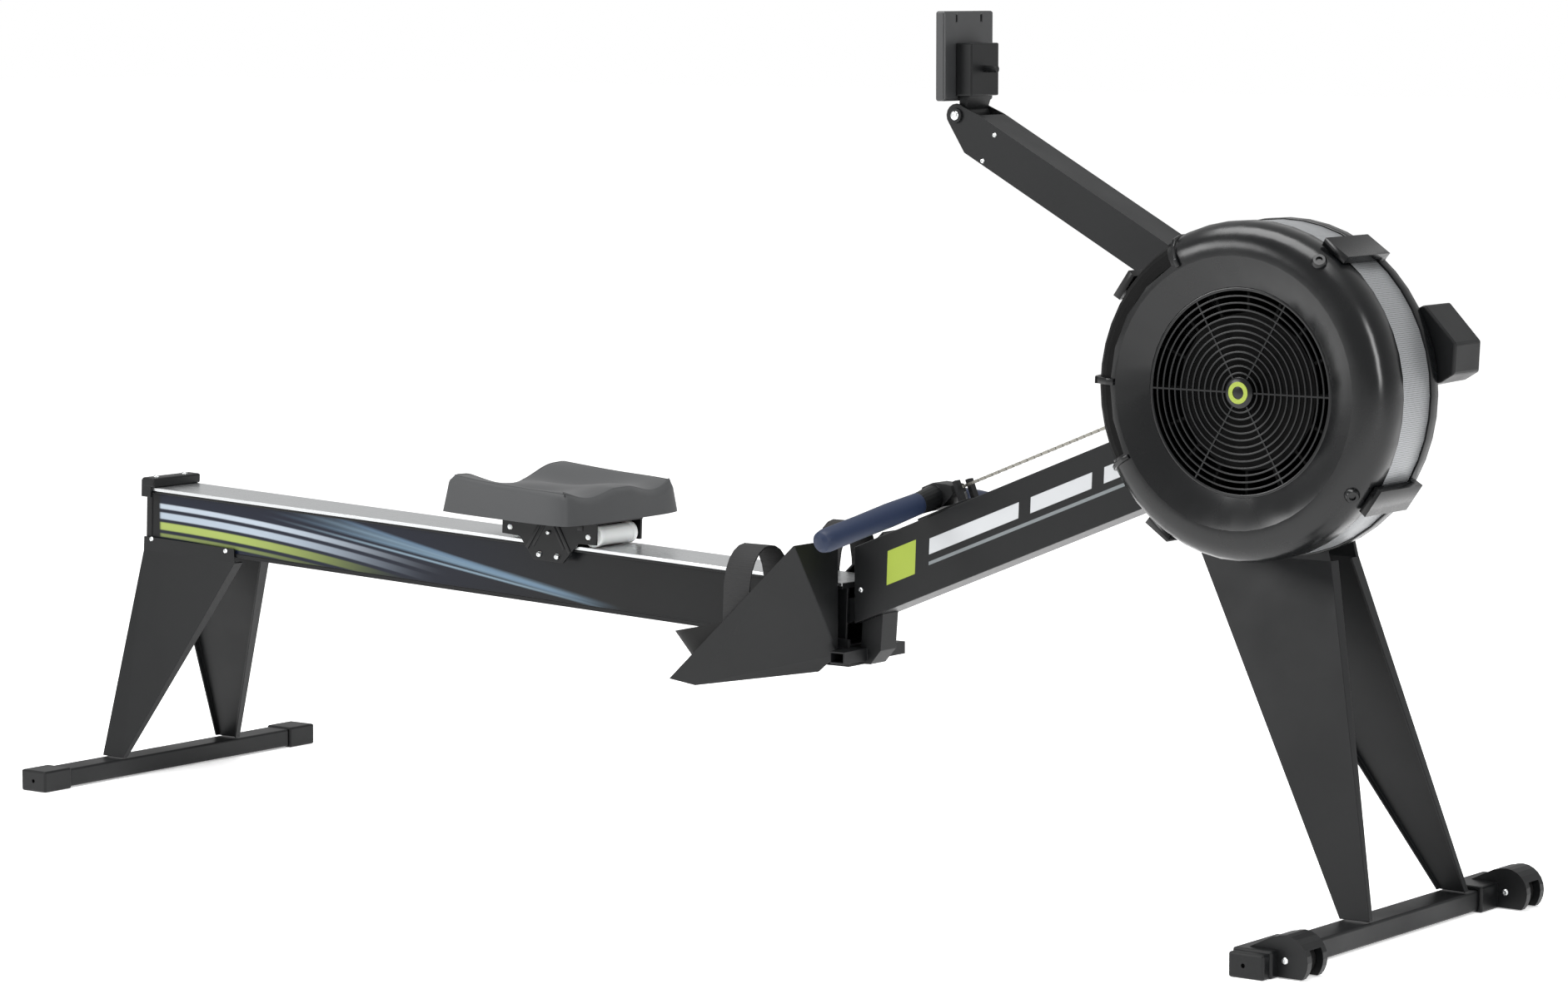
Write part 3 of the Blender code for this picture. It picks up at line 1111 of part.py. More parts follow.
def monitor_head():
    """The bracket that tilts on the arm's tip: its barrel, neck and box, and the monitor's plate."""
    half = ARM_HALF - SHEET - RUN
    ring = circle((0, 0), HEAD_RING_R, 24)
    bore = circle((0, 0), HEAD_BOLT_R + GAP, 16)
    box_x = 0.0125
    neck = [(-0.0115, 0.0085), (0.0115, 0.0085), (0.020, HEAD_BOX_Z + 0.004), (0.0015, HEAD_BOX_Z + 0.004)]
    neck += [(0.0015, 0.016), (-0.0115, 0.013)]
    bracket = outline("monitor_bracket", ring, 2 * half, PLASTIC_BLACK, parent=HEAD, holes=(bore,))
    stem = outline("bracket_stem", neck, 2 * half - 0.004, parent=HEAD)
    housing = box("bracket_housing", BOX_SIZE, (box_x, 0, HEAD_BOX_Z + BOX_SIZE[2] / 2), parent=HEAD)
    rounded(housing, 0.002)
    front = box_x + BOX_SIZE[0] / 2
    stud = rod("bracket_stud", 0.0048, 0.024, (front + 0.008, 0, HEAD_BOX_Z + 0.037), None, HEAD, 16)
    stud.rotation_euler = (0, pi / 2, 0)
    join(bracket, stem, housing, stud)
    plate_x = box_x - BOX_SIZE[0] / 2 - GAP - PLATE_SIZE[0] / 2
    plate_z = HEAD_BOX_Z - 0.007 + PLATE_SIZE[2] / 2
    plate = box("monitor_plate", PLATE_SIZE, (plate_x, 0, plate_z), STEEL_BLACK, parent=HEAD)
    rounded(plate, 0.003)
    for side in (-1, 1):
        slot = box(f"plate_slot_{side}", (0.05, 0.004, 0.010),
                   (plate_x, side * 0.030, plate_z + PLATE_SIZE[2] / 2 - 0.010), parent=HEAD)
        cut(plate, slot)
    bolt = rod("monitor_pivot_bolt", HEAD_BOLT_R, 2 * ARM_HALF + 0.006, (0, 0, 0), NICKEL, HEAD, 16)
    for side in (-1, 1):
        cap = rod(f"pivot_bolt_cap_{side}", 0.0105, 0.0035, (0, side * (ARM_HALF + GAP + 0.00175), 0), None, HEAD, 20)
        join(bolt, cap)


rear_foot()
legs()
front_foot()
rail()
rear_end()
carriage()
seat_rollers()
seat_pad()
main_beam()
beam_end_cap()
joint_bracket()
splice()
fan_covers()
grille()
flywheel()
bearings()
damper()
sprocket()
hidden_chain()
bungee()
chain_guide()
visible_chain()
handle()
handle_hook()
footrests()
monitor_arm()
arm_clevis()
monitor_head()
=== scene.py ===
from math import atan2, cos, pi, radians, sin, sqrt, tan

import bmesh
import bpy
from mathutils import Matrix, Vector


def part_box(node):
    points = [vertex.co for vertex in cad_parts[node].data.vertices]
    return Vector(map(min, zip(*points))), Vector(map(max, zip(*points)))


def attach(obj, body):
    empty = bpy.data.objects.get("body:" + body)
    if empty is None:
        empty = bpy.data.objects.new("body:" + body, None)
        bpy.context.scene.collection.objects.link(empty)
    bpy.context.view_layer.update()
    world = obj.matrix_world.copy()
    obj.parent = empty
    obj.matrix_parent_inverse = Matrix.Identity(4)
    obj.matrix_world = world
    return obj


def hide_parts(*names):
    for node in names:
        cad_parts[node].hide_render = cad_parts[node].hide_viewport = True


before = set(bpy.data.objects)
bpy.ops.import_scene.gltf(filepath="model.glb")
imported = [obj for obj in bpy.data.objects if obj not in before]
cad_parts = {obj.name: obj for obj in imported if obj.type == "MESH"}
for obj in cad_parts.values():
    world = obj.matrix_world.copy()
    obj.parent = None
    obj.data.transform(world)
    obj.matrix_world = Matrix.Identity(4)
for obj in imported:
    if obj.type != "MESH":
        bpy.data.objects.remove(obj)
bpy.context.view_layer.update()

# %% [markdown]
# # A rowing machine with an air fan
# The CAD model is the frame of this scene: it holds every hard piece in its place and carries the joints.
# This script keeps that frame, rebuilds the pieces that need finer shapes than the CAD has, gives every piece
# its finish, and sets the floor, the lamps and the camera.

scene = bpy.context.scene
MM = 0.001
MACHINE = Matrix.Translation((-1.1545, 0.04825, 0.0))
RAIL = MACHINE @ Matrix.Translation((0, 0, 0.4541)) @ Matrix.Rotation(radians(2.2), 4, "Y")
BEAM = MACHINE @ Matrix.Translation((1.373, 0, 0.3427)) @ Matrix.Rotation(radians(-22.1), 4, "Y")
FAN = MACHINE @ Matrix.Translation((2.089, 0, 0.718))
ARM = MACHINE @ Matrix.Translation((2.050, 0, 0.781)) @ Matrix.Rotation(radians(-151.4), 4, "Y")
BOARD = {side: MACHINE @ Matrix.Translation((1.137, y, 0.258)) @ Matrix.Rotation(radians(-43.0), 4, "Y")
         for side, y in (("right", -0.10725), ("left", 0.10725))}

# %% [markdown]
# ## Colours and a small kit for materials
# A colour is written the way a paint chip names it, in sRGB, and one function turns it into the linear
# values that a renderer works with. Every material is built from nodes, so nothing depends on an image.

# %% Colours and node helpers
def linear(hex_colour):
    """The linear colour for an sRGB colour written as six hex digits."""
    channels = [int(hex_colour[i:i + 2], 16) / 255 for i in (0, 2, 4)]
    return [c / 12.92 if c <= 0.04045 else ((c + 0.055) / 1.055) ** 2.4 for c in channels] + [1.0]


def node(tree, kind, inputs=None, **settings):
    """Adds a node of this kind, sets its settings, and fills or links the inputs given by name or number."""
    made = tree.nodes.new("ShaderNode" + kind)
    for name, value in settings.items():
        setattr(made, name, value)
    for name, value in (inputs or {}).items():
        if isinstance(value, bpy.types.NodeSocket):
            tree.links.new(value, made.inputs[name])
        else:
            made.inputs[name].default_value = value
    return made


def finish(name, colour, roughness, metallic=0.0, **sockets):
    """A material with one principled shader. Returns the material, its tree, the shader and the coordinates."""
    material = bpy.data.materials.new(name)
    material.use_nodes = True
    tree = material.node_tree
    shader = tree.nodes["Principled BSDF"]
    shader.inputs["Base Color"].default_value = linear(colour)
    shader.inputs["Roughness"].default_value = roughness
    shader.inputs["Metallic"].default_value = metallic
    for socket, value in sockets.items():
        shader.inputs[socket.replace("_", " ")].default_value = value
    where = node(tree, "TexCoord").outputs["Object"]
    return material, tree, shader, where


def math(tree, operation, a, b=0.0):
    return node(tree, "Math", {0: a, 1: b}, operation=operation).outputs[0]


def grain(tree, shader, where, size, height, detail=3.0):
    """A fine bump: size is how far apart the grains are, and height how tall, both in metres."""
    noise = node(tree, "TexNoise", {"Vector": where, "Scale": 1 / size, "Detail": detail})
    bump = node(tree, "Bump", {"Height": noise.outputs[0], "Distance": height, "Strength": 1.0})
    tree.links.new(bump.outputs[0], shader.inputs["Normal"])
    return noise.outputs[0]


def uneven(tree, shader, where, size, low, high):
    """Makes the roughness drift between two values over patches of this size, as handling does."""
    noise = node(tree, "TexNoise", {"Vector": where, "Scale": 1 / size, "Detail": 4.0})
    spread = node(tree, "MapRange", {0: noise.outputs[0], 1: 0.35, 2: 0.65, 3: low, 4: high})
    tree.links.new(spread.outputs[0], shader.inputs["Roughness"])


print("kit ready")

# %% [markdown]
# ## The black finishes
# The legs, the beam, the bars and the arm are steel under a satin powder coat, which flows into a very fine
# orange peel. The fan covers and the footboards are moulded with a matt texture. The rubber is duller still.
# The differences are small, but they are what tells one black piece from the next. The flywheel and the damper inside
# the fan are a darker, duller black, which is painted shade.

# %% Black paint, plastic and rubber
def powder_coat():
    material, tree, shader, where = finish("black powder coat", "101112", 0.42, Specular_IOR_Level=0.24)
    grain(tree, shader, where, 1.6 * MM, 0.05 * MM)  # orange peel, 1.6 mm across and 0.05 mm tall
    uneven(tree, shader, where, 120 * MM, 0.38, 0.47)
    return material


def moulded_plastic():
    material, tree, shader, where = finish("black moulded plastic", "0c0d0e", 0.40, Specular_IOR_Level=0.26)
    grain(tree, shader, where, 0.9 * MM, 0.03 * MM)  # mould texture, 0.9 mm across
    uneven(tree, shader, where, 90 * MM, 0.36, 0.45)
    return material


def glossy_cover():
    material, tree, shader, where = finish("glossy black cover", "060708", 0.24, Specular_IOR_Level=0.38)
    grain(tree, shader, where, 3.0 * MM, 0.02 * MM)  # a faint ripple, 3 mm across
    uneven(tree, shader, where, 80 * MM, 0.20, 0.30)
    return material


def darkened_black_painted_shade():
    # The flywheel and the damper are black. This black is darker and less shiny than the others, which is painted shade
    # for the inside of the fan.
    material, tree, shader, where = finish("black with painted shade inside the fan", "040404", 0.6, Specular_IOR_Level=0.1)
    uneven(tree, shader, where, 40 * MM, 0.55, 0.65)
    return material


def rubber():
    material, tree, shader, where = finish("black rubber", "0f0f0f", 0.68, Specular_IOR_Level=0.22)
    grain(tree, shader, where, 1.2 * MM, 0.04 * MM)
    return material


coat = powder_coat()
plastic = moulded_plastic()
cover_black = glossy_cover()
fan_inside_painted_shade = darkened_black_painted_shade()
soft_black = rubber()
print("the blacks")

# %% [markdown]
# ## The metals
# The seat runs on a stainless strip, brushed along the rail. Bolts are zinc plated, the chain is nickel plated
# and dulled by oil. A brushed surface is a noise stretched along the brushing, so that it streaks.

# %% Steel strip, bolts and chain
def brushed_steel():
    material, tree, shader, where = finish("brushed steel strip", "c9cbcc", 0.30, 1.0)
    squeezed = node(tree, "Mapping", {"Vector": where, "Scale": (1.0, 60.0, 60.0)}).outputs[0]
    streaks = node(tree, "TexNoise", {"Vector": squeezed, "Scale": 12.0, "Detail": 5.0})  # lines about 1.4 mm apart
    spread = node(tree, "MapRange", {0: streaks.outputs[0], 1: 0.3, 2: 0.7, 3: 0.24, 4: 0.40})
    tree.links.new(spread.outputs[0], shader.inputs["Roughness"])
    return material


def zinc():
    material, tree, shader, where = finish("zinc plated bolt", "d4d6d6", 0.28, 1.0)
    grain(tree, shader, where, 0.8 * MM, 0.01 * MM)
    return material


def nickel():
    material, tree, shader, where = finish("nickel plated chain", "8b8982", 0.45, 1.0)
    uneven(tree, shader, where, 6 * MM, 0.28, 0.46)
    return material


strip_steel = brushed_steel()
bolt_metal = zinc()
chain_metal = nickel()
print("three metals")

# %% [markdown]
# ## The rail and its printed flank
# The rail is a black anodised extrusion. A long film runs along each flank: pale stripes on near-black, a green
# one below them, and blue-grey streaks that sweep down towards the front and fade out. The film is written as
# distances: along the rail from its rear end, and up from its lower edge. A stripe is a band between two
# heights, and a streak is a band whose height falls with the distance.

# %% The rail's finish
def band(tree, height, centre, half, soft):
    """1 inside a band of heights around the centre, fading to 0 over the soft edge."""
    away = math(tree, "ABSOLUTE", math(tree, "SUBTRACT", height, centre))
    return node(tree, "MapRange", {0: away, 1: half, 2: half + soft, 3: 1.0, 4: 0.0}, clamp=True).outputs[0]


def ramp(tree, value, start, end, low=0.0, high=1.0):
    made = node(tree, "MapRange", {0: value, 1: start, 2: end, 3: low, 4: high}, clamp=True,
                interpolation_type="SMOOTHSTEP")
    return made.outputs[0]


def over(tree, below, colour, amount):
    """The colour laid over the one below by this amount."""
    made = node(tree, "Mix", data_type="RGBA")
    colour_inputs = [socket for socket in made.inputs if socket.type == "RGBA"]
    factor = [socket for socket in made.inputs if socket.type == "VALUE"][0]
    tree.links.new(amount, factor)
    for socket, value in zip(colour_inputs, (below, colour)):
        if isinstance(value, bpy.types.NodeSocket):
            tree.links.new(value, socket)
        else:
            socket.default_value = linear(value)
    return [socket for socket in made.outputs if socket.type == "RGBA"][0]


def rail_film():
    material, tree, shader, where = finish("black rail with its film", "0c0d0e", 0.38, Specular_IOR_Level=0.22)
    x, y, z = node(tree, "SeparateXYZ", {0: where}).outputs
    along = math(tree, "ADD", x, 1.1545)
    fallen = math(tree, "MULTIPLY", along, tan(radians(2.2)))
    height = math(tree, "SUBTRACT", math(tree, "ADD", z, fallen), 0.4541 - 0.0950)  # 0 at the rail's underside
    inside = math(tree, "MULTIPLY", ramp(tree, along, 0.012, 0.018), ramp(tree, along, 0.975, 0.930))
    tall = math(tree, "MULTIPLY", ramp(tree, height, 0.0062, 0.0068), ramp(tree, height, 0.0846, 0.0840))
    inside = math(tree, "MULTIPLY", inside, tall)
    dip = math(tree, "MULTIPLY", math(tree, "POWER", math(tree, "MAXIMUM", along, 0.0), 2.0), 0.115)
    level = math(tree, "ADD", height, dip)  # stripes start level and fall away to the front
    fade = ramp(tree, along, 0.62, 0.20)
    ground = over(tree, "0c0d0e", "0c1222", math(tree, "MULTIPLY", inside, ramp(tree, along, 0.95, 0.35)))
    look = ground
    stripes = (("a4aeb9", 0.0650, 0.0028, 0.62), ("98a3af", 0.0500, 0.0040, 0.60), ("8c9a50", 0.0335, 0.0048, 0.55),
               ("6c7842", 0.0190, 0.0016, 0.50))
    for colour, centre, half, reach in stripes:
        strength = math(tree, "MULTIPLY", band(tree, level, centre, half, 0.0022), ramp(tree, along, reach, reach - 0.42))
        look = over(tree, look, colour, math(tree, "MULTIPLY", strength, inside))
    for drop, start, thick, colour in ((0.105, 0.108, 0.0020, "5d7486"), (0.125, 0.1245, 0.0034, "6a8090"),
                                       (0.150, 0.1430, 0.0022, "586f84"), (0.098, 0.0960, 0.0012, "7b909e")):
        line = math(tree, "SUBTRACT", start, math(tree, "MULTIPLY", along, drop))
        away = math(tree, "ABSOLUTE", math(tree, "SUBTRACT", height, line))
        streak = node(tree, "MapRange", {0: away, 1: 0.0, 2: thick * 2.2, 3: 0.85, 4: 0.0}, clamp=True).outputs[0]
        ends = math(tree, "MULTIPLY", ramp(tree, along, 0.22, 0.52), ramp(tree, along, 0.965, 0.72))
        look = over(tree, look, colour, math(tree, "MULTIPLY", math(tree, "MULTIPLY", streak, ends), inside))
    tree.links.new(look, shader.inputs["Base Color"])
    tree.links.new(ramp(tree, inside, 0.0, 1.0, 0.40, 0.30), shader.inputs["Roughness"])
    return material


film = rail_film()
print("rail film")

# %% [markdown]
# ## The beam's graphic
# The beam carries a graphic of its own. Here it is a plain one: a green slanted tile, then three pale dashes
# that get shorter. It holds no letters and no emblem. It is placed along the beam and across its flank.

# %% The beam's finish
def beam_paint():
    material, tree, shader, where = finish("black beam with dashes", "0f1011", 0.40, Specular_IOR_Level=0.24)
    grain(tree, shader, where, 1.6 * MM, 0.05 * MM)
    turn = radians(22.1)
    x, y, z = node(tree, "SeparateXYZ", {0: where}).outputs
    out = math(tree, "ADD", x, 1.1545 - 1.373)
    rise = math(tree, "SUBTRACT", z, 0.3427)
    along = math(tree, "ADD", math(tree, "MULTIPLY", out, cos(turn)), math(tree, "MULTIPLY", rise, sin(turn)))
    height = math(tree, "SUBTRACT", math(tree, "MULTIPLY", rise, cos(turn)), math(tree, "MULTIPLY", out, sin(turn)))
    slanted = math(tree, "SUBTRACT", along, math(tree, "MULTIPLY", height, 0.45))
    look = "0f1011"
    for colour, start, end, low, high in (("8c9c3c", 0.060, 0.112, 0.034, 0.078), ("b4b6b8", 0.138, 0.300, 0.052, 0.072),
                                          ("b4b6b8", 0.322, 0.430, 0.052, 0.072), ("b4b6b8", 0.452, 0.506, 0.052, 0.072),
                                          ("6f7476", 0.138, 0.506, 0.038, 0.042)):
        wide = band(tree, slanted, (start + end) / 2, (end - start) / 2, 0.0006)
        tall = band(tree, height, (low + high) / 2, (high - low) / 2, 0.0006)
        look = over(tree, look, colour, math(tree, "MULTIPLY", wide, tall))
    tree.links.new(look, shader.inputs["Base Color"])
    return material


beam_finish = beam_paint()
print("beam graphic")

# %% [markdown]
# ## Seat, grips, rollers, band and webbing
# The seat is a moulded foam skin, matt and slightly soft to the light. The grips are slate-blue foam rubber.
# The rollers are white nylon. The band around the fan is grey sheet with small punched holes on a staggered
# grid, and the straps are woven, so their threads cross.

# %% The coloured finishes
def seat_skin():
    material, tree, shader, where = finish("grey seat foam", "38393a", 0.55, Specular_IOR_Level=0.3)
    grain(tree, shader, where, 0.8 * MM, 0.05 * MM)
    shader.inputs["Sheen Weight"].default_value = 0.08
    return material


def grip_foam():
    material, tree, shader, where = finish("slate blue grip", "18233a", 0.50, Specular_IOR_Level=0.3)
    grain(tree, shader, where, 1.0 * MM, 0.05 * MM)
    return material


def white_nylon():
    material, tree, shader, where = finish("white nylon", "dcdedd", 0.38)
    shader.inputs["Subsurface Weight"].default_value = 0.05
    uneven(tree, shader, where, 20 * MM, 0.33, 0.45)
    return material


def punched_band():
    material, tree, shader, where = finish("punched grey band", "96989a", 0.42, 0.55)
    x, y, z = node(tree, "SeparateXYZ", {0: where}).outputs
    turn = node(tree, "Math", {0: math(tree, "SUBTRACT", z, 0.718), 1: math(tree, "SUBTRACT", x, 0.9345)},
                operation="ARCTAN2").outputs[0]
    around = math(tree, "MULTIPLY", turn, 0.217)
    flat = node(tree, "CombineXYZ", {0: around, 1: y, 2: 0.0}).outputs[0]
    holes = node(tree, "TexVoronoi", {"Vector": flat, "Scale": 1 / (2.6 * MM), "Randomness": 0.0})  # a hole each 2.6 mm
    dark = node(tree, "MapRange", {0: holes.outputs["Distance"], 1: 0.24, 2: 0.30, 3: 1.0, 4: 0.0}, clamp=True).outputs[0]
    look = over(tree, "96989a", "3a3b3c", dark)
    tree.links.new(look, shader.inputs["Base Color"])
    return material


def woven(name, colour):
    material, tree, shader, where = finish(name, colour, 0.75)
    waves = node(tree, "TexWave", {"Vector": where, "Scale": 1 / (6.5 * MM), "Distortion": 0.4}, bands_direction="Y")
    cross = node(tree, "TexWave", {"Vector": where, "Scale": 1 / (9 * MM), "Distortion": 0.4}, bands_direction="Z")
    both = math(tree, "ADD", waves.outputs["Fac"], cross.outputs["Fac"])
    bump = node(tree, "Bump", {"Height": both, "Distance": 0.15 * MM, "Strength": 0.7})  # thread relief 0.15 mm
    tree.links.new(bump.outputs[0], shader.inputs["Normal"])
    return material


def plain(name, colour, roughness, metallic=0.0):
    material, tree, shader, where = finish(name, colour, roughness, metallic)
    uneven(tree, shader, where, 30 * MM, roughness - 0.04, roughness + 0.04)
    return material


seat_grey = seat_skin()
grip_blue = grip_foam()
nylon = white_nylon()
perforated = punched_band()
webbing = woven("black webbing", "101011")
steel_grey = plain("grey painted plate", "2a2b2c", 0.42)
glide_grey = plain("light grey glide", "b8babb", 0.55)
lime = plain("lime ring", "8a9a34", 0.45)
print("coloured finishes")

# %% [markdown]
# ## Dressing the CAD pieces
# Each piece takes its finish by name. A small rounding goes along every sharp edge, because a real edge is
# never a perfect corner: it catches a thin line of light. The weld before it joins the corners of the
# imported triangles, so that the rounding can find the edges.

# %% Finishes and soft edges
MATERIALS = {
    # The flywheel and the damper take the black with painted shade for the inside of the fan.
    "rail": film, "main_beam": beam_finish, "rail_track": strip_steel, "flywheel": fan_inside_painted_shade,
    "fan_cover_outer": cover_black, "fan_cover_inner": cover_black, "damper": fan_inside_painted_shade,
    "seat_pad": seat_grey, "grip_left": grip_blue, "grip_right": grip_blue, "fan_band": perforated,
    "sprocket": chain_metal, "chain_run": chain_metal, "chain_return": chain_metal, "flywheel_axle": bolt_metal,
    "axle_bearing_left": bolt_metal, "axle_bearing_right": bolt_metal, "arm_pivot_pin": bolt_metal,
    "monitor_pivot_bolt": coat, "strap_left": webbing, "strap_right": webbing, "bungee_cord": soft_black,
    "heel_cup_left": soft_black, "heel_cup_right": soft_black, "transport_wheel_left": soft_black,
    "transport_wheel_right": soft_black, "monitor_plate": steel_grey,
}
COATED = ("rear_crossbar", "front_crossbar", "rear_leg_left", "rear_leg_right", "front_leg_left", "front_leg_right",
          "joint_bracket", "arm_clevis", "chain_guide_bracket", "handle_hook", "monitor_arm", "rail_splice")
ROUNDING = {"fan_cover_outer": 1.6, "fan_cover_inner": 1.6, "seat_carriage": 1.0, "footboard_left": 2.0,
            "footboard_right": 2.0, "front_leg_left": 0.9, "front_leg_right": 0.9, "main_beam": 1.4, "rail": 0.8,
            "beam_end_cap": 3.0, "rear_end_plate": 1.4, "monitor_bracket": 1.0, "monitor_plate": 1.4}


ROUND = {"fan_cover_outer", "fan_cover_inner", "fan_band", "grip_left", "grip_right", "seat_roller_front",
         "seat_roller_rear", "transport_wheel_left", "transport_wheel_right", "strap_left", "strap_right",
         "heel_cup_left", "heel_cup_right", "flywheel_axle", "axle_bearing_left", "axle_bearing_right"}


def material_of(name):
    if name in MATERIALS:
        return MATERIALS[name]
    if name.startswith(("seat_roller", "guide_roller")):
        return nylon
    return coat if name in COATED else plastic


def soften(obj, width_mm):
    """Welds the imported corners and rounds the sharp edges by this width."""
    weld = obj.modifiers.new("weld", "WELD")
    weld.merge_threshold = 0.00005
    bevel = obj.modifiers.new("soft edges", "BEVEL")
    bevel.width = width_mm * MM
    bevel.segments = 2
    bevel.limit_method = "ANGLE"
    bevel.angle_limit = radians(20 if obj.name in ROUND else 35)
    bevel.use_clamp_overlap = True
    bevel.harden_normals = obj.name in ROUND
    obj.data.polygons.foreach_set("use_smooth", [obj.name in ROUND] * len(obj.data.polygons))


for name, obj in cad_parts.items():
    obj.data.materials.clear()
    obj.data.materials.append(material_of(name))
    soften(obj, ROUNDING.get(name, 0.6))
print(len(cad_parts), "CAD pieces dressed")

# %% [markdown]
# ## A few helpers for new pieces
# A new piece is made in its own small frame, such as the rail's or the beam's, and its points are then moved to
# the scene's frame. Its object stays at the origin, unturned, and it rides on the body it belongs to.

# %% Making a piece
def piece(name, shape, material, body, matrix=MACHINE, smooth=40):
    """Turns the mesh being edited into an object with this finish, riding on this body."""
    bmesh.ops.transform(shape, matrix=matrix, verts=shape.verts)
    bmesh.ops.recalc_face_normals(shape, faces=shape.faces)
    mesh = bpy.data.meshes.new(name)
    shape.to_mesh(mesh)
    shape.free()
    mesh.polygons.foreach_set("use_smooth", [True] * len(mesh.polygons))
    mesh.set_sharp_from_angle(angle=radians(smooth))
    obj = bpy.data.objects.new(name, mesh)
    scene.collection.objects.link(obj)
    mesh.materials.append(material)
    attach(obj, body)
    return obj


def block(shape, size, place, turn=0.0):
    """Adds a box of this size, turned about Y by so many degrees. Returns its corners."""
    made = bmesh.ops.create_cube(shape, size=1.0)["verts"]
    bmesh.ops.scale(shape, vec=size, verts=made)
    bmesh.ops.rotate(shape, cent=(0, 0, 0), matrix=Matrix.Rotation(radians(turn), 3, "Y"), verts=made)
    bmesh.ops.translate(shape, vec=place, verts=made)
    return made


def spun(shape, profile, place, direction, steps=24):
    """Adds a solid turned from a profile of (radius, height) points, standing on the place."""
    part = bmesh.new()
    points = [part.verts.new((radius, 0, height)) for radius, height in profile]
    edges = [part.edges.new(pair) for pair in zip(points, points[1:])]
    bmesh.ops.spin(part, geom=points + edges, cent=(0, 0, 0), axis=(0, 0, 1), dvec=(0, 0, 0),
                   angle=2 * pi, steps=steps, use_merge=True, use_duplicate=False)
    bmesh.ops.remove_doubles(part, verts=part.verts, dist=0.000001)
    turn = Vector((0, 0, 1)).rotation_difference(Vector(direction)).to_matrix().to_4x4()
    bmesh.ops.transform(part, matrix=Matrix.Translation(place) @ turn, verts=part.verts)
    passing = bpy.data.meshes.new("passing")
    part.to_mesh(passing)
    part.free()
    shape.from_mesh(passing)
    bpy.data.meshes.remove(passing)


def bolt(shape, place, direction, radius=0.004, height=0.0025):
    """A low domed bolt head with a dimple, standing on the place."""
    dome = [(0.0, height * 0.55), (radius * 0.30, height * 0.55), (radius * 0.38, height), (radius * 0.70, height * 0.95),
            (radius * 0.95, height * 0.45), (radius, 0.0), (radius * 0.98, -0.0008), (0.0, -0.0008)]
    spun(shape, dome, place, direction, 20)


print("helpers ready")

# %% [markdown]
# ## The seat
# The seat is a thick moulded pad. Its top has two hollows for the sit bones, a dip in the middle of the rear
# edge and two shallow ones for the thighs at the front, and its edge rolls over softly into sides that lean
# out. It is built from a fine grid, lifted by a few smooth hills, with the edge rounded afterwards.

# %% The seat pad
DEPTH, HALF, LIFT = 0.245, 0.145, 0.0415
BACK = 0.829 - 0.017


def hill(value, middle, width):
    return max(0.0, 1 - ((value - middle) / width) ** 2) ** 2


def seat_top(along, across):
    rim = 0.056 - 0.008 * (along + 1) / 2
    bones = 0.022 * (hill(across, -0.42, 0.62) + hill(across, 0.42, 0.62)) * hill(along, -0.15, 0.95)
    notch = 0.027 * hill(across, 0.0, 0.75) * max(0.0, -along) ** 2
    thighs = 0.011 * (hill(across, -0.55, 0.45) + hill(across, 0.55, 0.45)) * max(0.0, along) ** 1.5
    return rim - bones - notch - thighs


def seat():
    shape = bmesh.new()
    bmesh.ops.create_grid(shape, x_segments=40, y_segments=46, size=1.0)
    border = [edge for edge in shape.edges if edge.is_boundary]
    walls = bmesh.ops.extrude_edge_only(shape, edges=border)["geom"]
    low = {item for item in walls if isinstance(item, bmesh.types.BMVert)}
    for vert in shape.verts:
        along, across = vert.co.x, vert.co.y
        corner = (abs(along) * abs(across)) ** 4
        shrink = 1 - (0.085 if along > 0 else 0.04) * corner
        edge = max(abs(along), abs(across))
        inset = 0.0 if vert in low else 0.007
        roll = 0.0 if vert in low else 0.004 * max(0.0, (edge - 0.90) / 0.10) ** 2
        height = 0.0 if vert in low else seat_top(along, across) - roll
        vert.co = ((along * shrink) * (DEPTH / 2 - inset), across * shrink * (HALF - inset), height)
    bmesh.ops.holes_fill(shape, edges=[edge for edge in shape.edges if edge.is_boundary])
    rim = [edge for edge in shape.edges if len(edge.link_faces) == 2 and edge.verts[0] not in low
           and edge.verts[1] not in low and edge.calc_face_angle(0) > radians(40)]
    bmesh.ops.bevel(shape, geom=rim, offset=0.008, segments=4, profile=0.5, affect="EDGES", material=-1)
    return piece("seat_cushion", shape, seat_grey, "seat", RAIL @ Matrix.Translation((BACK, 0, LIFT)), 60)


cushion = seat()
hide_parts("seat_pad")
print("seat", len(cushion.data.polygons), "faces")

# %% [markdown]
# ## The carriage
# Under the seat, a folded plate hangs down on each side of the rail. Two ribs run down it in a V, two bolts
# hold the guide rollers at its lower edge, and a bolt closes each end of the roller axles.

# %% Ribs and bolts of the carriage
def carriage_details():
    shape = bmesh.new()
    for side in (-1, 1):
        y = side * 0.0543
        for lean in (-1, 1):
            block(shape, (0.0055, 0.003, 0.050), (0.829 + lean * 0.028, y, 0.010), lean * -32)
            block(shape, (0.0045, 0.002, 0.044), (0.829 + lean * 0.018, y, 0.012), lean * -32)
        for lean in (-1, 1):
            block(shape, (0.010, 0.0024, 0.010), (0.829 + lean * 0.060, y, 0.030), 0)
    bmesh.ops.bevel(shape, geom=shape.edges[:], offset=0.0006, segments=2, profile=0.5, affect="EDGES", material=-1)
    return piece("carriage_ribs", shape, plastic, "seat", RAIL)


def carriage_bolts():
    shape = bmesh.new()
    for side in (-1, 1):
        for x, z, radius in ((0.812, -0.0185, 0.0042), (0.846, -0.0185, 0.0042), (0.829, 0.016, 0.0034)):
            bolt(shape, (x, side * 0.0560, z), (0, side, 0), radius)
    return piece("carriage_bolts", shape, bolt_metal, "seat", RAIL)


carriage_details()
carriage_bolts()
print("carriage details")

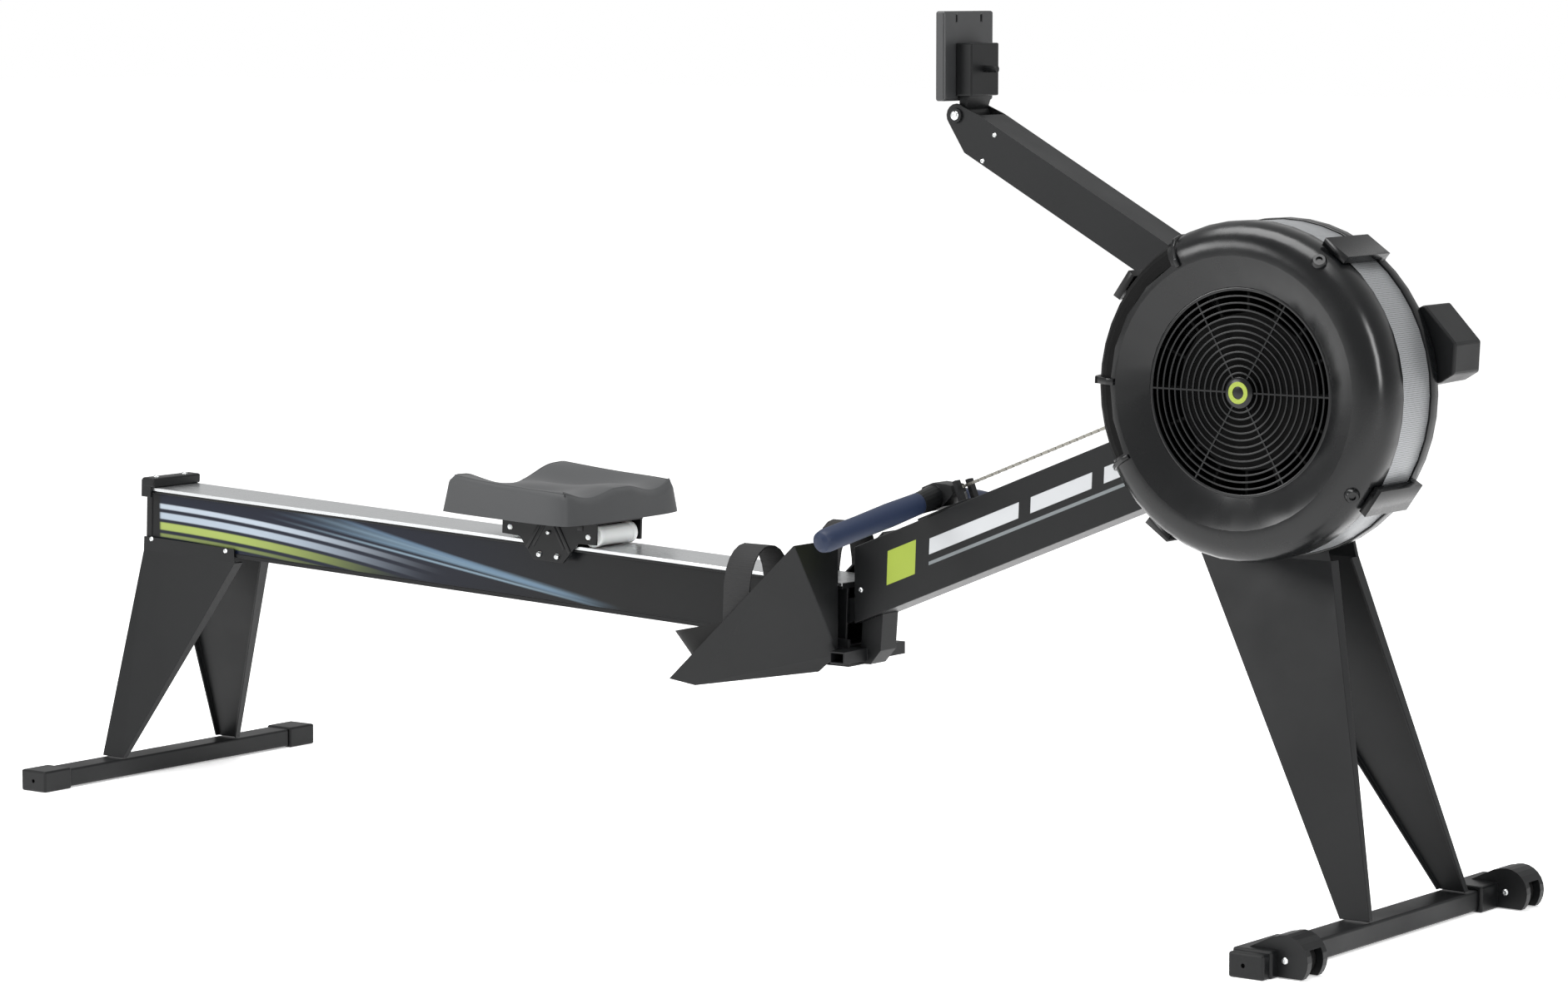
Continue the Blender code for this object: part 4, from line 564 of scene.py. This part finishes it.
# %% [markdown]
# ## The fan's guard
# The guard is a disc of fine concentric rings held by six spokes, so that air can enter and fingers can't.
# Each ring is a thin square-edged hoop, made by turning its section about the axle.

# %% The guard rings
GUARD_R = 0.1375
GUARD_FACE = 0.1660


def guard():
    shape = bmesh.new()
    rings = 13
    for ring in range(rings):
        radius = 0.026 + (GUARD_R - 0.0015 - 0.026) * ring / (rings - 1)
        half = 0.0022 if ring == rings - 1 else 0.0012
        section = [(radius - half, -0.0030), (radius - half, -0.0004), (radius - half + 0.0005, 0.0),
                   (radius + half - 0.0005, 0.0), (radius + half, -0.0004), (radius + half, -0.0030),
                   (radius - half, -0.0030)]
        spun(shape, section, (0, -GUARD_FACE, 0), (0, -1, 0), 96)
    for spoke in range(6):
        made = block(shape, (GUARD_R - 0.020, 0.0030, 0.0022), ((GUARD_R + 0.020) / 2, -GUARD_FACE + 0.0018, 0))
        bmesh.ops.rotate(shape, cent=(0, 0, 0), matrix=Matrix.Rotation(radians(60 * spoke), 3, "Y"), verts=made)
    spun(shape, [(0.0, 0.0035), (0.018, 0.0035), (0.0205, 0.0015), (0.0205, -0.0035), (0.0, -0.0035)],
         (0, -GUARD_FACE, 0), (0, -1, 0), 48)
    return piece("fan_guard", shape, cover_black, "frame", FAN)


def hub_ring():
    shape = bmesh.new()
    spun(shape, [(0.0085, 0.0034), (0.0085, 0.0042), (0.0145, 0.0042), (0.0145, 0.0034), (0.0085, 0.0034)],
         (0, -GUARD_FACE, 0), (0, -1, 0), 48)
    return piece("hub_ring", shape, lime, "frame", FAN)


fan_guard = guard()
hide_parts("fan_grille")
hub_ring()
print("guard", len(fan_guard.data.polygons), "faces")

# %% [markdown]
# ## The chain
# A quarter-inch chain runs from inside the beam, over the swivelling guide, to the handle. Each link is a pair
# of oval plates around two rollers, and every other pair sits inside its neighbours. The chain is drawn for its
# whole straight length, and moves with the handle, so pulling the handle draws it out of the fan.

# %% The chain links
def chain():
    low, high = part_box("chain_run")
    y = (low[1] + high[1]) / 2
    start = Vector((low[0], y, low[2]))
    end = Vector((high[0], y, high[2]))
    line = Vector((cos(radians(22.1)), 0, sin(radians(22.1))))
    middle = (start + end) / 2
    length = (end - start).dot(line) - 0.004
    pitch = 0.00635
    count = int(length / pitch)
    shape = bmesh.new()
    for link in range(count):
        place = (-length / 2 + (link + 0.5) * pitch, 0, 0)
        wide = 0.0011 if link % 2 else 0.0018
        for side in (-1, 1):
            made = block(shape, (pitch * 1.42, 0.0006, 0.0048 if link % 2 else 0.0054), (place[0], side * wide, 0))
            pinched = [v for v in made if abs(v.co.x - place[0]) > pitch * 0.5]
            bmesh.ops.scale(shape, vec=(1, 1, 0.72), verts=pinched)
        spun(shape, [(0.0, 0.0022), (0.0011, 0.0022), (0.0011, -0.0022), (0.0, -0.0022)],
             (place[0] + pitch / 2, 0, 0), (0, 1, 0), 10)
    matrix = Matrix.Translation(middle) @ Matrix.Rotation(radians(-22.1), 4, "Y")
    return piece("chain_links", shape, chain_metal, "handle", matrix)


links = chain()
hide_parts("chain_run")
print("chain", len(links.data.polygons), "faces")

# %% [markdown]
# ## Bolts and screws of the frame
# Where two members meet, a bolt head shows. They are placed one by one: on the stop at the rail's end, on the
# legs' tabs, at the joint, on the feet's hoods, on the monitor arm and on the covers' clips.

# %% Bolt heads
def frame_bolts():
    shape = bmesh.new()
    for x, z in ((0.000, 0.370), (0.160, 0.362), (1.985, 0.640), (2.060, 0.664)):
        for side in (-1, 1):
            y = 0.0395 if x < 1 else 0.0372
            bolt(shape, (x, side * y, z), (0, side, 0), 0.0042)
    for side in (-1, 1):
        bolt(shape, (1.385, side * 0.0337, 0.392), (0, side, 0), 0.0040)
        middle = -0.0625 + side * 0.2895
        for face in (-1, 1):
            bolt(shape, (2.2928, middle + face * 0.0246, 0.0233), (0, face, 0), 0.0048)
    return piece("frame_bolts", shape, bolt_metal, "frame")


def stop_bolts():
    shape = bmesh.new()
    for y in (-0.034, 0.030):
        bolt(shape, (0.006, y, 0.0153), (0, 0, 1), 0.0048, 0.0030)
    return piece("stop_bolts", shape, bolt_metal, "frame", RAIL)


def arm_bolts():
    shape = bmesh.new()
    for x, z in ((1.611, 1.041), (1.591, 1.005)):
        for side in (-1, 1):
            bolt(shape, (x, side * 0.0331, z), (0, side, 0), 0.0036)
    for side in (-1, 1):
        bolt(shape, (1.546, side * 0.0372, 1.067), (0, side, 0), 0.0068, 0.0020)
    return piece("arm_bolts", shape, bolt_metal, "monitor_arm")


def clip_screws():
    shape = bmesh.new()
    for degrees in (55, 325):
        turn = radians(degrees)
        radius = 0.1895 + 0.035 * sqrt(0.5)  # halfway round the cover's shoulder, standing square on it
        place = (radius * cos(turn), -0.150 - 0.035 * sqrt(0.5), radius * sin(turn))
        spun(shape, [(0.0, 0.003), (0.004, 0.003), (0.0045, 0.006), (0.008, 0.006), (0.0098, 0.003), (0.0105, -0.0016),
                     (0.0, -0.0016)], place, (cos(turn), -1, sin(turn)), 28)
    return piece("clip_bosses", shape, cover_black, "frame", FAN)


def cover_ridges():
    shape = bmesh.new()
    outline = [(0.182, -0.1840), (0.182, -0.1885), (0.193, -0.1885), (0.211, -0.1815), (0.2225, -0.1690),
               (0.2268, -0.1530), (0.2268, -0.1330), (0.2200, -0.1330), (0.2200, -0.1530), (0.2080, -0.1740),
               (0.192, -0.1835)]
    for degrees, half in ((117, 0.003), (178, 0.0045), (210, 0.003)):
        part = bmesh.new()
        flat = part.faces.new([part.verts.new((r, y, -half)) for r, y in outline])
        raised = bmesh.ops.extrude_face_region(part, geom=[flat])["geom"]
        bmesh.ops.translate(part, vec=(0, 0, 2 * half), verts=[v for v in raised if isinstance(v, bmesh.types.BMVert)])
        bmesh.ops.rotate(part, cent=(0, 0, 0), matrix=Matrix.Rotation(radians(-degrees), 3, "Y"), verts=part.verts)
        passing = bpy.data.meshes.new("passing")
        part.to_mesh(passing)
        part.free()
        shape.from_mesh(passing)
        bpy.data.meshes.remove(passing)
    bmesh.ops.bevel(shape, geom=shape.edges[:], offset=0.0009, segments=2, profile=0.5, affect="EDGES", material=-1)
    return piece("cover_ridges", shape, cover_black, "frame", FAN)


frame_bolts()
stop_bolts()
arm_bolts()
clip_screws()
cover_ridges()
print("bolts placed")

# %% [markdown]
# ## Floor, lamps and camera
# The machine stands on a plain pale floor that runs into a pale background. Big soft lamps light it from above
# and from the camera's left. The camera is far away with a long lens, low over the floor.

# %% The stage
def world_light():
    world = bpy.data.worlds.new("pale room")
    scene.world = world
    world.use_nodes = True
    tree = world.node_tree
    background = tree.nodes["Background"]
    background.inputs["Color"].default_value = (1.0, 1.0, 1.0, 1.0)
    seen = node(tree, "LightPath").outputs["Is Camera Ray"]
    strength = node(tree, "MapRange", {0: seen, 1: 0.0, 2: 1.0, 3: 0.62, 4: 1.0}).outputs[0]
    tree.links.new(strength, background.inputs["Strength"])


def floor():
    mesh = bpy.data.meshes.new("floor")
    shape = bmesh.new()
    bmesh.ops.create_grid(shape, x_segments=1, y_segments=1, size=40.0)
    bmesh.ops.translate(shape, vec=(0, 0, -0.0002), verts=shape.verts)
    shape.to_mesh(mesh)
    shape.free()
    obj = bpy.data.objects.new("floor", mesh)
    scene.collection.objects.link(obj)
    material, tree, shader, where = finish("pale floor", "ffffff", 0.95, Specular_IOR_Level=0.0)
    shader.inputs["Emission Color"].default_value = linear("ffffff")
    shader.inputs["Emission Strength"].default_value = 0.40  # so that the far floor is as pale as the room
    mesh.materials.append(material)
    return obj


def lamp(name, place, aim, size, power):
    data = bpy.data.lights.new(name, "AREA")
    data.shape = "RECTANGLE"
    data.size, data.size_y = size
    data.energy = power
    obj = bpy.data.objects.new(name, data)
    scene.collection.objects.link(obj)
    obj.location = place
    obj.rotation_euler = (Vector(aim) - Vector(place)).to_track_quat("-Z", "Y").to_euler()
    return obj


def camera():
    data = bpy.data.cameras.new("camera")
    data.sensor_width = 36.0
    data.lens = 111.65
    data.clip_end = 200.0
    obj = bpy.data.objects.new("camera", data)
    scene.collection.objects.link(obj)
    obj.location = (4.2398, -5.54505, 1.2556)
    obj.rotation_euler = (radians(83.885), 0.0, radians(36.710))
    scene.camera = obj
    return obj


world_light()
ground = floor()
overhead = lamp("overhead softbox", (0.0, -0.6, 4.2), (0.0, 0.0, 0.3), (4.0, 2.0), 190)
side = lamp("side softbox", (-2.6, -4.2, 2.4), (0.1, 0.0, 0.5), (2.4, 1.4), 100)
front = lamp("front softbox", (4.8, -1.6, 2.2), (0.6, 0.0, 0.6), (0.9, 2.6), 95)
camera()
scene.view_settings.view_transform = "Standard"
print("stage set")
